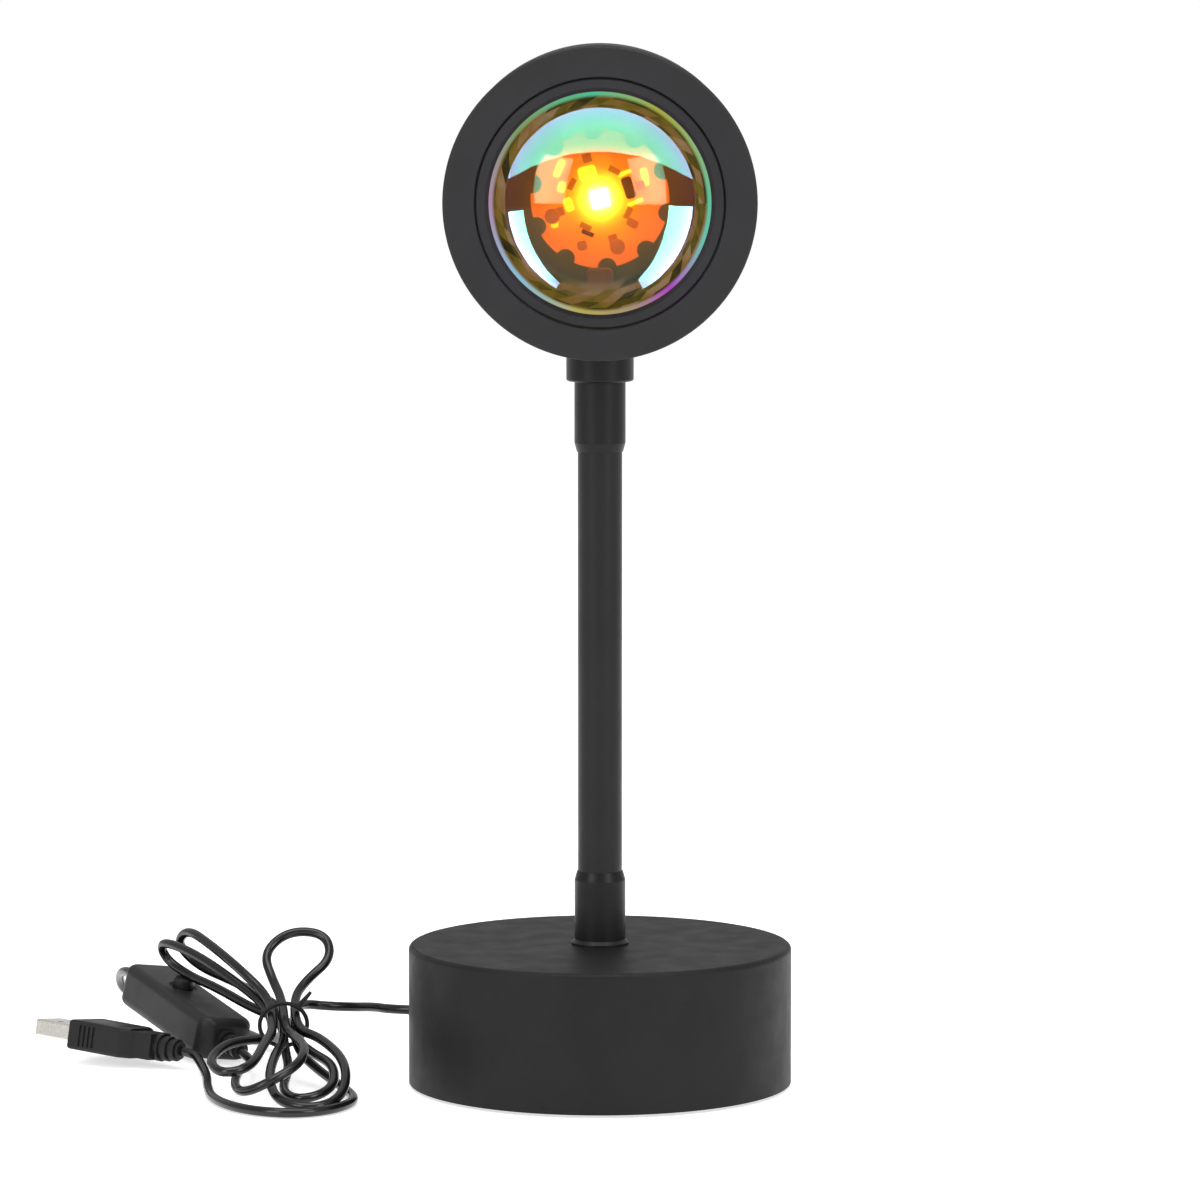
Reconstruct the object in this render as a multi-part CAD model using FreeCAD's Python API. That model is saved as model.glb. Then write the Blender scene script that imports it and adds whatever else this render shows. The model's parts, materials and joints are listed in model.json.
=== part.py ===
import FreeCAD, Part
import math
import os
from FreeCAD import Placement, Rotation, Vector

# A table lamp that throws a sunset-coloured disc of light. Lengths are in millimetres.
# The origin is the centre of the base's underside, +Z is up and the lens looks along -Y.

os.makedirs("parts", exist_ok=True)

# ---- driving dimensions: base ----
BASE_DIAMETER = 100.0
BASE_HEIGHT = 37.0
BASE_WALL = 1.8
BASE_ROOF = 2.2
BASE_EDGE_RADIUS = 1.3
BASE_SKIRT_LIFT = 0.8
PAD_INSET = 3.2
PAD_THICKNESS = 2.0
PLATE_THICKNESS = 1.5
PLATE_GAP = 0.3
WEIGHT_HEIGHT = 12.0
WEIGHT_GAP = 0.4
WEIGHT_CORE_DIAMETER = 12.0
WEIGHT_DRAFT = 0.6
WEIGHT_CHAMFER = 1.5
POST_INSET = 5.6
POST_DIAMETER = 8.4
POST_ANGLES = (20.0, 110.0, 200.0, 290.0)
SCREW_THREAD = 3.0
SCREW_HEAD = 5.6
SCREW_LENGTH = 9.0
SCREW_CLEARANCE = 0.1
WEIGHT_SCREW_INSET = 12.0
WEIGHT_SCREW_ANGLES = (0.0, 120.0, 240.0)

# ---- driving dimensions: neck ----
NECK_BARE_LENGTH = 109.7
NECK_HINGES = 10
SLEEVE_OUTER = 11.5
SLEEVE_WALL = 1.15
SLEEVE_INSERT = 6.0
FERRULE_DIAMETER = 13.3
FERRULE_HEIGHT = 19.3
FERRULE_CHAMFER = 2.3
FERRULE_LIP_DIAMETER = 15.0
FERRULE_LIP_HEIGHT = 1.4
FERRULE_UPPER_HEIGHT = 18.3
FERRULE_MOUTH_GAP = 0.25
FLANGE_TO_SLEEVE = 3.0
BALL_RADIUS = 3.6
BALL_CLEARANCE = 0.05
LINK_DIAMETER = 8.8
LINK_SHANK = 4.8
LINK_BODY_RISE = 3.2
SOCKET_LIP = 1.2
LINK_CHAMFER = 0.9
FUNNEL_HEIGHT = 2.4
FUNNEL_FLARE = 0.9
WIRE_BORE = 3.0
WIRE_DIAMETER = 1.1
STUD_DIAMETER = 9.8
STUD_FLANGE_DIAMETER = 11.0
STUD_FLANGE_HEIGHT = 1.5
NUT_FLATS = 14.0
NUT_HEIGHT = 4.0
WASHER_DIAMETER = 20.0
WASHER_THICKNESS = 1.0
STUD_PAST_NUT = 1.0
FIT_CLEARANCE = 0.05

# ---- driving dimensions: head ----
HEAD_DIAMETER = 80.0
HEAD_FRONT = 30.0
HEAD_REAR = 30.0
HEAD_WALL = 2.0
HEAD_FLANGE = 2.5
HEAD_EDGE_RADIUS = 0.8
HEAD_CENTRE_Z = 231.2
COLLAR_DIAMETER = 17.5
COLLAR_FLAT_DEPTH = 5.0
COLLAR_PAD_DIAMETER = 19.0
RING_DIAMETER = 63.2
RING_SEAM = 0.35
RING_RECESS = 0.5
RING_THICKNESS = 3.0
RING_BORE = 56.6
RING_CHAMFER = 1.0
LENS_FLANGE_DIAMETER = 62.4
LENS_FLANGE_THICKNESS = 2.5
LENS_DOME_DIAMETER = 56.0
LENS_DOME_RADIUS = 36.0
LENS_BACK_DEPTH = 2.0
GASKET_THICKNESS = 0.8
SEAT_BORE = 57.0
SEAT_THICKNESS = 2.0
SEAT_TUBE_WALL = 2.2
CHAMBER_DIAMETER = 56.0
CHAMBER_WALL = 3.6
CHAMBER_FLANGE_OVER = 1.2
CHAMBER_STEP = 2.0
FILTER_DIAMETER = 52.0
FILTER_THICKNESS = 1.1
FILTER_LEDGE = 1.6
BOARD_PLANE = -10.0
BOARD_DIAMETER = 36.0
BOARD_THICKNESS = 1.6
BOARD_NOTCHES = 10
BOARD_NOTCH_DIAMETER = 5.0
LED_SIZE = 5.0
LED_HEIGHT = 1.5
LED_WINDOW = 3.6
LED_BODY_SHARE = 0.7
LED_WINDOW_SHARE = 0.5
CHIP_COUNT = 8
CHIP_FIRST_ANGLE = 18.0
SQUARE_CHIP = (2.4, 2.4, 1.1)
SQUARE_CHIP_CIRCLE = 11.0
LONG_CHIP = (3.2, 1.6, 0.8)
LONG_CHIP_CIRCLE = 8.2
CAPACITOR_DIAMETER = 4.0
CAPACITOR_HEIGHT = 4.2
CAPACITOR_CIRCLE = 13.2
CAPACITOR_ANGLES = (200.0, 290.0)
LED_TURN = -12.0
HEATSINK_DIAMETER = 74.0
HEATSINK_PLATE = 3.0
FIN_COUNT = 9
FIN_THICKNESS = 1.4
FIN_PITCH = 5.6
FIN_SPAN_RADIUS = 28.0
FIN_DEPTH = 11.0
WIRE_HOLE_DIAMETER = 4.0
WIRE_HOLE_OUT = 3.0
HEAD_POST_DIAMETER = 7.0
HEAD_POST_CIRCLE = 35.0
HEAD_POST_ANGLES = (90.0, 210.0, 330.0)
COVER_POST_ANGLES = (30.0, 150.0, 270.0)
COVER_POST_LENGTH = 12.0
COVER_THICKNESS = 2.4
COVER_LIP = 3.0
COVER_LIP_WALL = 1.6
COVER_LIP_GAP = 0.15
COVER_SLOTS = 16
COVER_SLOT_INNER = 16.0
COVER_SLOT_OUTER = 26.0
COVER_SLOT_WIDTH = 2.6
COVER_SCREW_LENGTH = 10.0
HEATSINK_SCREW_LENGTH = 9.0
HEATSINK_SCREW_HEAD_HEIGHT = 2.0

# ---- driving dimensions: cord, switch and plug ----
CORD_DIAMETER = 2.5
CORD_GAP_WANTED = 0.4
GROMMET_ANGLE = 165.0
GROMMET_HEIGHT = 17.2
GROMMET_HOLE = 6.0
GROMMET_FLANGE_DIAMETER = 8.4
GROMMET_FLANGE = 1.2
GROMMET_GROOVE_GAP = 0.25
SWITCH_LENGTH = 50.0
SWITCH_WIDTH = 15.6
SWITCH_THICKNESS = 11.6
SWITCH_PARTING = 4.0
SWITCH_WALL = 1.4
SWITCH_EDGE_RADIUS = 2.4
ELEMENT_SIZE = 8.0
ELEMENT_PIN_ROWS = (-4.6, 4.0)
ELEMENT_PIN_SIDES = (-2.4, 2.4)
SWITCH_NEAR_END = Vector(-99.5, 28.5, 6.2)
SWITCH_HEADING = Vector(-0.497, 0.848, 0.174)
SWITCH_ROLL = 8.0
BUTTON_DIAMETER = 5.6
BUTTON_ABOVE = 2.6
BUTTON_TRAVEL = 1.5
BUTTON_OVERTRAVEL = 0.15
BUTTON_CLEARANCE = 0.1
BUTTON_FLANGE_DIAMETER = 7.4
BUTTON_FLANGE = 1.0
BUTTON_DISH_DIAMETER = 7.8
BUTTON_DISH_DEPTH = 0.6
BUTTON_BACK_SHIFT = 4.0
NEAR_RELIEF_LENGTH = 9.0
FAR_RELIEF_LENGTH = 5.0
RELIEF_BASE_DIAMETER = 6.4
RELIEF_TIP_DIAMETER = 4.2
RELIEF_RIBS = 3
PLUG_RELIEF_END = Vector(-111.0, 20.0, 5.0)
PLUG_HEADING = Vector(-0.87, 0.485, 0.07)
PLUG_ROLL = 8.0
PLUG_SHELL_WIDTH = 12.0
PLUG_SHELL_HEIGHT = 4.5
PLUG_SHELL_WALL = 0.3
PLUG_SHELL_EXPOSED = 11.6
PLUG_SHELL_BURIED = 7.0
PLUG_SHELL_EDGE = 0.5
PLUG_WINDOW = 2.0
PLUG_WINDOW_ACROSS = 3.1
PLUG_WINDOW_BACK = 7.0
PLUG_TONGUE_THICKNESS = 1.9
PLUG_TONGUE_RECESS = 0.6
CONTACT_OFFSETS = (-3.5, -1.0, 1.0, 3.5)
CONTACT_LENGTH = 9.0
CONTACT_WIDTH = 1.0
CONTACT_THICKNESS = 0.35
CONTACT_BACK = 10.4
CONTACT_RISE = 1.5
PLUG_BODY_LENGTH = 24.0
PLUG_BODY_WIDTH = 15.6
PLUG_BODY_HEIGHT = 8.0
PLUG_TAIL_WIDTH = 9.6
PLUG_TAIL_HEIGHT = 7.0
PLUG_STEP_SHARE = 0.34
PLUG_STEP_SLOPE = 3.0
PLUG_RIBS = 4
PLUG_RIB_PITCH = 1.4
PLUG_RIB_START = 4.0
PLUG_RIB_INSET = 1.2
PLUG_GROOVE = (0.7, 0.8)
PLUG_FRAME_LENGTH = 12.6
PLUG_FRAME_WIDTH = 10.4
PLUG_FRAME_LINE = 0.6
PLUG_FRAME_DEPTH = 0.3
PLUG_FRAME_BACK = 14.4
PLUG_RELIEF_BASE = 7.4
PLUG_RELIEF_TIP = 5.2
PLUG_RELIEF_LENGTH = 7.0


# ---- shape helpers ----
def turned(profile):
    """A solid turned about Z from closed (radius, height) points; a point may carry a third value,
    the middle (radius, height) of an arc that leads to it."""
    edges = []
    for index, point in enumerate(profile):
        start = profile[index - 1]
        a = Vector(start[0], 0, start[1])
        b = Vector(point[0], 0, point[1])
        if len(point) == 3:
            middle = Vector(point[2][0], 0, point[2][1])
            edges.append(Part.Arc(a, middle, b).toShape())
        else:
            edges.append(Part.LineSegment(a, b).toShape())
    face = Part.Face(Part.Wire(edges))
    return face.revolve(Vector(0, 0, 0), Vector(0, 0, 1), 360)


def rod(diameter, bottom, top, x=0.0, y=0.0):
    """An upright cylinder between two heights."""
    return Part.makeCylinder(diameter / 2, top - bottom, Vector(x, y, bottom))


def ring(outer, inner, bottom, top, x=0.0, y=0.0):
    """An upright tube between two heights."""
    return rod(outer, bottom, top, x, y).cut(rod(inner, bottom - 1, top + 1, x, y))


def polar(radius, degrees):
    """The (x, y) of a point on a circle about the axis."""
    angle = math.radians(degrees)
    return radius * math.cos(angle), radius * math.sin(angle)


def hex_nut(flats, bore, bottom, top):
    """A hexagonal nut with its two rims turned off at 30 degrees."""
    corner = flats / math.sqrt(3)
    points = [Vector(*polar(corner, 60 * k), bottom) for k in range(7)]
    body = Part.Face(Part.makePolygon(points)).extrude(Vector(0, 0, top - bottom))
    rim = (corner - flats / 2) * math.tan(math.radians(30))
    turned_blank = turned(
        [
            (0, bottom),
            (flats / 2, bottom),
            (corner, bottom + rim),
            (corner, top - rim),
            (flats / 2, top),
            (0, top),
        ]
    )
    return body.common(turned_blank).cut(rod(bore, bottom - 1, top + 1))


def countersunk_screw(head, thread, length):
    """A countersunk screw that hangs below Z = 0, its flat head on that plane."""
    cone = (head - thread) / 2
    recess = Part.makeCylinder(thread * 0.3, cone * 0.9, Vector(0, 0, -cone * 0.9))
    body = turned([(0, 0), (head / 2, 0), (thread / 2, -cone), (thread / 2, -length), (0, -length)])
    return body.cut(recess)


def countersink(face, far_side):
    """The cutter for a countersunk hole that enters at one level and leaves above another."""
    mouth = SCREW_HEAD / 2 + SCREW_CLEARANCE
    hole = SCREW_THREAD / 2 + SCREW_CLEARANCE
    cone = (SCREW_HEAD - SCREW_THREAD) / 2
    return turned(
        [
            (0, face - 1),
            (mouth, face - 1),
            (mouth, face),
            (hole, face + cone),
            (hole, far_side + 1),
            (0, far_side + 1),
        ]
    )


def pan_screw(head, head_height, thread, length):
    """A pan-head screw whose head sits above Z = 0."""
    body = turned(
        [
            (0, -length),
            (thread / 2, -length),
            (thread / 2, 0),
            (head / 2, 0),
            (head / 2, head_height * 0.5),
            (0, head_height, (head * 0.36, head_height * 0.88)),
        ]
    )
    recess = Part.makeCylinder(thread * 0.3, head_height, Vector(0, 0, head_height * 0.4))
    return body.cut(recess)


def placed(shape, placement):
    """A copy of a shape, moved from its own frame by a placement."""
    moved = shape.copy()
    moved.Placement = placement.multiply(moved.Placement)
    return moved


def save(name, shapes):
    """Write one node: one solid, or a group of separate solids."""
    shapes = shapes if isinstance(shapes, list) else [shapes]
    solids = [solid for shape in shapes for solid in shape.Solids]
    shape = solids[0] if len(solids) == 1 else Part.makeCompound(solids)
    shape.exportStep("parts/" + name + ".step")
    print(f"{name}: {len(solids)} solid(s), {shape.Volume:.1f} mm3, valid {shape.isValid()}")


# ---- levels that several pieces share ----
base_radius = BASE_DIAMETER / 2
roof_underside = BASE_HEIGHT - BASE_ROOF
plate_bottom = PAD_THICKNESS
plate_top = plate_bottom + PLATE_THICKNESS
weight_top = plate_top + WEIGHT_HEIGHT
skirt_inner = BASE_DIAMETER - 2 * BASE_WALL
pad_diameter = skirt_inner - 2 * PAD_INSET
post_circle = skirt_inner / 2 - POST_INSET
weight_radius = post_circle - POST_DIAMETER / 2 - WEIGHT_GAP
weight_screw_circle = weight_radius - WEIGHT_SCREW_INSET
neck_bottom = BASE_HEIGHT + FERRULE_HEIGHT
neck_top = neck_bottom + NECK_BARE_LENGTH
hinge_pitch = NECK_BARE_LENGTH / NECK_HINGES
hinge_heights = [neck_bottom + hinge_pitch * (k + 0.5) for k in range(NECK_HINGES)]
ferrule_top = neck_top + FERRULE_UPPER_HEIGHT
sleeve_bottom = neck_bottom - SLEEVE_INSERT
sleeve_top = neck_top + SLEEVE_INSERT
sleeve_inner = SLEEVE_OUTER - 2 * SLEEVE_WALL
ferrule_bore = SLEEVE_OUTER + 2 * FIT_CLEARANCE
ledge_depth = SLEEVE_INSERT + STUD_FLANGE_HEIGHT + FLANGE_TO_SLEEVE
stud_hole = STUD_DIAMETER + 2 * FIT_CLEARANCE
socket_radius = BALL_RADIUS + BALL_CLEARANCE
collar_pad_z = HEAD_CENTRE_Z - HEAD_DIAMETER / 2 + COLLAR_FLAT_DEPTH


# ---- base ----
def grommet_placement():
    """The frame of the cord's way out: its own +Z points out of the base, level."""
    x, y = polar(base_radius, GROMMET_ANGLE)
    out = Rotation(Vector(0, 0, 1), Vector(x, y, 0))
    return Placement(Vector(x, y, GROMMET_HEIGHT), out)


def post_places():
    return [polar(post_circle, angle) for angle in POST_ANGLES]


def base_shell():
    """A deep-drawn cup with a rolled top edge, four screw posts and the holes for stud and cord."""
    edge = BASE_EDGE_RADIUS
    inner = edge * (1 - math.sqrt(0.5))
    cup = turned(
        [
            (0, BASE_HEIGHT),
            (0, roof_underside),
            (skirt_inner / 2, roof_underside),
            (skirt_inner / 2, BASE_SKIRT_LIFT),
            (base_radius, BASE_SKIRT_LIFT),
            (base_radius, BASE_HEIGHT - edge),
            (base_radius - edge, BASE_HEIGHT, (base_radius - inner, BASE_HEIGHT - inner)),
        ]
    )
    for x, y in post_places():
        cup = cup.fuse(rod(POST_DIAMETER, plate_top, roof_underside, x, y))
    for x, y in post_places():
        cup = cup.cut(rod(SCREW_THREAD, plate_top - 1, plate_top + SCREW_LENGTH + 1, x, y))
    cup = cup.cut(rod(stud_hole, roof_underside - 1, BASE_HEIGHT + 1))
    hole = Part.makeCylinder(GROMMET_HOLE / 2, BASE_WALL * 4, Vector(0, 0, -BASE_WALL * 3))
    return cup.cut(placed(hole, grommet_placement())).removeSplitter()


def base_plate():
    """The steel plate that closes the base, countersunk for its own and the weight's screws."""
    plate = rod(skirt_inner - 2 * PLATE_GAP, plate_bottom, plate_top)
    sink = countersink(plate_bottom, plate_top)
    places = post_places() + [polar(weight_screw_circle, angle) for angle in WEIGHT_SCREW_ANGLES]
    for x, y in places:
        hole = sink.copy()
        hole.translate(Vector(x, y, 0))
        plate = plate.cut(hole)
    return plate


def counterweight():
    """A cast-iron disc with drafted sides, a cored centre and tapped holes below."""
    core = WEIGHT_CORE_DIAMETER / 2
    drafted = weight_radius - WEIGHT_DRAFT
    weight = turned(
        [
            (core, plate_top),
            (weight_radius, plate_top),
            (drafted, weight_top - WEIGHT_CHAMFER),
            (drafted - WEIGHT_CHAMFER, weight_top),
            (core, weight_top),
        ]
    )
    for angle in WEIGHT_SCREW_ANGLES:
        x, y = polar(weight_screw_circle, angle)
        weight = weight.cut(rod(SCREW_THREAD, plate_top - 1, plate_top + SCREW_LENGTH, x, y))
    return weight


def foot_pad():
    """A soft foam disc glued under the plate, on which the lamp stands."""
    return rod(pad_diameter, 0, PAD_THICKNESS)


def plate_screws(places, thread):
    """Countersunk screws driven up through the plate, heads level with its underside."""
    screw = countersunk_screw(SCREW_HEAD, thread, SCREW_LENGTH)
    flipped = placed(screw, Placement(Vector(0, 0, plate_bottom), Rotation(Vector(1, 0, 0), 180)))
    group = []
    for x, y in places:
        copy = flipped.copy()
        copy.translate(Vector(x, y, 0))
        group.append(copy)
    return group


def cord_grommet():
    """A rubber bush that lines the cord's hole, gripped by the wall in its groove."""
    wall_in = -BASE_WALL - GROMMET_GROOVE_GAP
    hole = GROMMET_HOLE / 2 - FIT_CLEARANCE
    flange = GROMMET_FLANGE_DIAMETER / 2
    cord = CORD_DIAMETER / 2
    bush = turned(
        [
            (cord, wall_in - GROMMET_FLANGE),
            (flange, wall_in - GROMMET_FLANGE),
            (flange, wall_in),
            (hole, wall_in),
            (hole, 0.0),
            (flange, 0.0),
            (flange - 0.5, GROMMET_FLANGE),
            (cord, GROMMET_FLANGE),
        ]
    )
    seat = rod(BASE_DIAMETER, 0, BASE_HEIGHT).cut(rod(skirt_inner, -1, BASE_HEIGHT + 1))
    bush = placed(bush, grommet_placement())
    x, y = polar(base_radius, GROMMET_ANGLE)
    wall = seat.cut(placed(rod(GROMMET_HOLE, -10, 10), grommet_placement()))
    return bush.cut(wall)


# ---- neck ----
def ferrule(height, lip):
    """A turned sleeve end: the foot sits on Z = 0, the chamfered mouth takes the sleeve."""
    outer = FERRULE_DIAMETER / 2
    ledge = height - ledge_depth
    foot = [(outer, 0)]
    if lip:
        lip_radius = FERRULE_LIP_DIAMETER / 2
        foot = [(lip_radius, 0), (lip_radius, FERRULE_LIP_HEIGHT * 0.4), (outer, FERRULE_LIP_HEIGHT)]
    return turned(
        [(stud_hole / 2, 0)]
        + foot
        + [
            (outer, height - FERRULE_CHAMFER),
            (SLEEVE_OUTER / 2 + FERRULE_MOUTH_GAP, height),
            (ferrule_bore / 2, height),
            (ferrule_bore / 2, ledge),
            (stud_hole / 2, ledge),
        ]
    )


def socket_cut(z):
    """The hollow of a socket: a sphere about the hinge centre, open upwards."""
    return Part.makeSphere(socket_radius, Vector(0, 0, z))


def ball(z):
    """The ball end below a link, its shank and its flared wire bore."""
    sphere = Part.makeSphere(BALL_RADIUS, Vector(0, 0, z))
    return sphere.fuse(rod(LINK_SHANK, z, z + LINK_BODY_RISE + 0.2))


def wire_bore(bottom, top, flare_at=None):
    """The channel for the wires, widened to a funnel where a ball lets them swing."""
    bore = rod(WIRE_BORE, bottom, top)
    if flare_at is not None:
        mouth = WIRE_BORE / 2 + FUNNEL_FLARE
        funnel = Part.makeCone(mouth, WIRE_BORE / 2, FUNNEL_HEIGHT, Vector(0, 0, flare_at - BALL_RADIUS))
        bore = bore.fuse(funnel)
    return bore


def link_body(bottom, top):
    """The waisted barrel of a link between its shank and its socket lip."""
    outer = LINK_DIAMETER / 2
    return turned(
        [
            (0, bottom),
            (outer - LINK_CHAMFER, bottom),
            (outer, bottom + LINK_CHAMFER),
            (outer, top - 0.5),
            (outer - 0.3, top),
            (0, top),
        ]
    )


def neck_link(index):
    """One link: a ball on hinge `index` and a socket on the next hinge."""
    low = hinge_heights[index]
    high = hinge_heights[index + 1]
    body = link_body(low + LINK_BODY_RISE, high + SOCKET_LIP).fuse(ball(low))
    bore = wire_bore(low - BALL_RADIUS - 1, high, low)
    return body.cut(socket_cut(high)).cut(bore).removeSplitter()


def neck_anchor():
    """The fixed foot of the neck: socket, flange that holds the ferrule down, and threaded stud."""
    first = hinge_heights[0]
    ledge = neck_bottom - ledge_depth
    stud_end = roof_underside - WASHER_THICKNESS - NUT_HEIGHT - STUD_PAST_NUT
    body = link_body(ledge + 0.5, first + SOCKET_LIP)
    body = body.fuse(rod(STUD_FLANGE_DIAMETER, ledge, ledge + STUD_FLANGE_HEIGHT))
    body = body.fuse(rod(STUD_DIAMETER, stud_end, ledge))
    bore = wire_bore(stud_end - 1, first)
    return body.cut(socket_cut(first)).cut(bore).removeSplitter()


def neck_tip():
    """The moving end of the neck: ball, flange inside the upper ferrule, and threaded stud."""
    last = hinge_heights[-1]
    ledge = neck_top + ledge_depth
    stud_end = collar_pad_z + NUT_HEIGHT + STUD_PAST_NUT
    body = link_body(last + LINK_BODY_RISE, ledge - 0.2).fuse(ball(last))
    body = body.fuse(rod(STUD_FLANGE_DIAMETER, ledge - STUD_FLANGE_HEIGHT, ledge))
    body = body.fuse(rod(STUD_DIAMETER, ledge - 0.1, stud_end))
    return body.cut(wire_bore(last - BALL_RADIUS - 1, stud_end + 1, last)).removeSplitter()


def neck_wires():
    """The two conductors that run up the bore, side by side."""
    low = roof_underside - WASHER_THICKNESS - NUT_HEIGHT - STUD_PAST_NUT - 3.0
    high = collar_pad_z + NUT_HEIGHT + STUD_PAST_NUT + 1.0
    offset = (WIRE_DIAMETER + 0.2) / 2
    return [rod(WIRE_DIAMETER, low, high, side * offset, 0) for side in (-1, 1)]


# ---- head, in its own frame: +Z runs forward out of the lens, +Y is up ----
head_placement = Placement(Vector(0, 0, HEAD_CENTRE_Z), Rotation(Vector(1, 0, 0), 90))
head_radius = HEAD_DIAMETER / 2
head_inner = HEAD_DIAMETER - 2 * HEAD_WALL
ring_front = HEAD_FRONT - RING_RECESS
ring_back = ring_front - RING_THICKNESS
flange_back = ring_back - LENS_FLANGE_THICKNESS
gasket_back = flange_back - GASKET_THICKNESS
seat_back = gasket_back - SEAT_THICKNESS
plate_front = BOARD_PLANE
plate_back = BOARD_PLANE - HEATSINK_PLATE
shell_rear = COVER_THICKNESS - HEAD_REAR
seam_bore = RING_DIAMETER + 2 * RING_SEAM


def radial_copies(shape, circle, angles):
    """Copies of a shape moved out to a circle at several angles."""
    copies = []
    for angle in angles:
        copy = shape.copy()
        copy.translate(Vector(*polar(circle, angle), 0))
        copies.append(copy)
    return copies


def head_shell():
    """The cast housing: barrel, flat front face, lens seat, screw posts and the collar pad."""
    edge = HEAD_EDGE_RADIUS
    bulge = edge * (1 - math.sqrt(0.5))
    seat_outer = seam_bore / 2 + SEAT_TUBE_WALL
    shell = turned(
        [
            (head_inner / 2, shell_rear),
            (head_radius, shell_rear),
            (head_radius, HEAD_FRONT - edge),
            (head_radius - edge, HEAD_FRONT, (head_radius - bulge, HEAD_FRONT - bulge)),
            (seam_bore / 2 + 0.3, HEAD_FRONT),
            (seam_bore / 2, HEAD_FRONT - 0.3),
            (seam_bore / 2, gasket_back),
            (SEAT_BORE / 2, gasket_back),
            (SEAT_BORE / 2, seat_back),
            (seat_outer, seat_back),
            (seat_outer, HEAD_FRONT - HEAD_FLANGE),
            (head_inner / 2, HEAD_FRONT - HEAD_FLANGE),
        ]
    )
    inside = rod(HEAD_DIAMETER - HEAD_WALL, shell_rear, HEAD_FRONT - HEAD_FLANGE / 2)
    seat_hole = rod(2 * seat_outer, seat_back - 60, HEAD_FRONT + 1)
    post = rod(HEAD_POST_DIAMETER, plate_front, HEAD_FRONT - HEAD_FLANGE / 2)
    for copy in radial_copies(post, HEAD_POST_CIRCLE, HEAD_POST_ANGLES):
        shell = shell.fuse(copy.common(inside).cut(seat_hole))
    cover_post = rod(HEAD_POST_DIAMETER, shell_rear, shell_rear + COVER_POST_LENGTH)
    for copy in radial_copies(cover_post, HEAD_POST_CIRCLE, COVER_POST_ANGLES):
        shell = shell.fuse(copy.common(inside))
    pad_top = COLLAR_FLAT_DEPTH - head_radius
    pad = Part.makeCylinder(
        COLLAR_PAD_DIAMETER / 2, COLLAR_FLAT_DEPTH, Vector(0, pad_top, 0), Vector(0, -1, 0)
    )
    shell = shell.fuse(pad.common(rod(HEAD_DIAMETER - HEAD_WALL, -30, 30)))
    pilot = rod(SCREW_THREAD, plate_front - 1, plate_front + HEATSINK_SCREW_LENGTH)
    for copy in radial_copies(pilot, HEAD_POST_CIRCLE, HEAD_POST_ANGLES):
        shell = shell.cut(copy)
    cover_pilot = rod(SCREW_THREAD, shell_rear - 1, shell_rear + COVER_SCREW_LENGTH)
    for copy in radial_copies(cover_pilot, HEAD_POST_CIRCLE, COVER_POST_ANGLES):
        shell = shell.cut(copy)
    stud_way = Part.makeCylinder(stud_hole / 2, HEAD_DIAMETER / 2, Vector(0, -20, 0), Vector(0, -1, 0))
    return shell.cut(stud_way).removeSplitter()


def lens_ring():
    """The screwed ring that clamps the lens, its inner edge bevelled towards the glass."""
    outer = RING_DIAMETER / 2
    inner = RING_BORE / 2
    return turned(
        [
            (inner, ring_back),
            (outer, ring_back),
            (outer, ring_front - 0.3),
            (outer - 0.3, ring_front),
            (inner + RING_CHAMFER, ring_front),
            (inner, ring_front - RING_CHAMFER),
        ]
    )


def lens():
    """A thick plano-convex glass with a flat rim under the ring."""
    rim = LENS_FLANGE_DIAMETER / 2
    dome = LENS_DOME_DIAMETER / 2
    sag = LENS_DOME_RADIUS - math.sqrt(LENS_DOME_RADIUS**2 - dome**2)
    half_angle = math.asin(dome / LENS_DOME_RADIUS) / 2
    centre = ring_back + sag - LENS_DOME_RADIUS
    middle = (LENS_DOME_RADIUS * math.sin(half_angle), centre + LENS_DOME_RADIUS * math.cos(half_angle))
    return turned(
        [
            (0, flange_back - LENS_BACK_DEPTH),
            (dome - 0.4, flange_back - LENS_BACK_DEPTH),
            (dome, flange_back - LENS_BACK_DEPTH + 0.4),
            (dome, flange_back),
            (rim, flange_back),
            (rim, ring_back),
            (dome, ring_back),
            (0, ring_back + sag, middle),
        ]
    )


def lens_gasket():
    """A flat rubber washer between glass and seat."""
    return ring(LENS_FLANGE_DIAMETER, SEAT_BORE, gasket_back, flange_back)


def light_chamber():
    """The tube between the lens seat and the heatsink; its front step holds the filter."""
    outer = CHAMBER_DIAMETER / 2
    inner = outer - CHAMBER_WALL
    flange = SEAT_BORE / 2 + CHAMBER_FLANGE_OVER
    pocket = FILTER_DIAMETER / 2 + 0.1
    step = seat_back - FILTER_THICKNESS
    return turned(
        [
            (inner, plate_front),
            (outer, plate_front),
            (outer, seat_back - CHAMBER_STEP),
            (flange, seat_back - CHAMBER_STEP),
            (flange, seat_back),
            (pocket, seat_back),
            (pocket, step),
            (FILTER_DIAMETER / 2 - FILTER_LEDGE, step),
            (inner, step - CHAMBER_STEP),
        ]
    )


def dichroic_filter():
    """The thin coated glass disc that colours the light."""
    return rod(FILTER_DIAMETER, seat_back - FILTER_THICKNESS, seat_back)


def led_board():
    """A round aluminium-core board with scallops cut into its rim."""
    top = plate_front + BOARD_THICKNESS
    board = rod(BOARD_DIAMETER, plate_front, top)
    notch = rod(BOARD_NOTCH_DIAMETER, plate_front - 1, top + 1)
    angles = [360 / BOARD_NOTCHES * k + LED_TURN for k in range(BOARD_NOTCHES)]
    for copy in radial_copies(notch, BOARD_DIAMETER / 2, angles):
        board = board.cut(copy)
    return board


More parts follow.
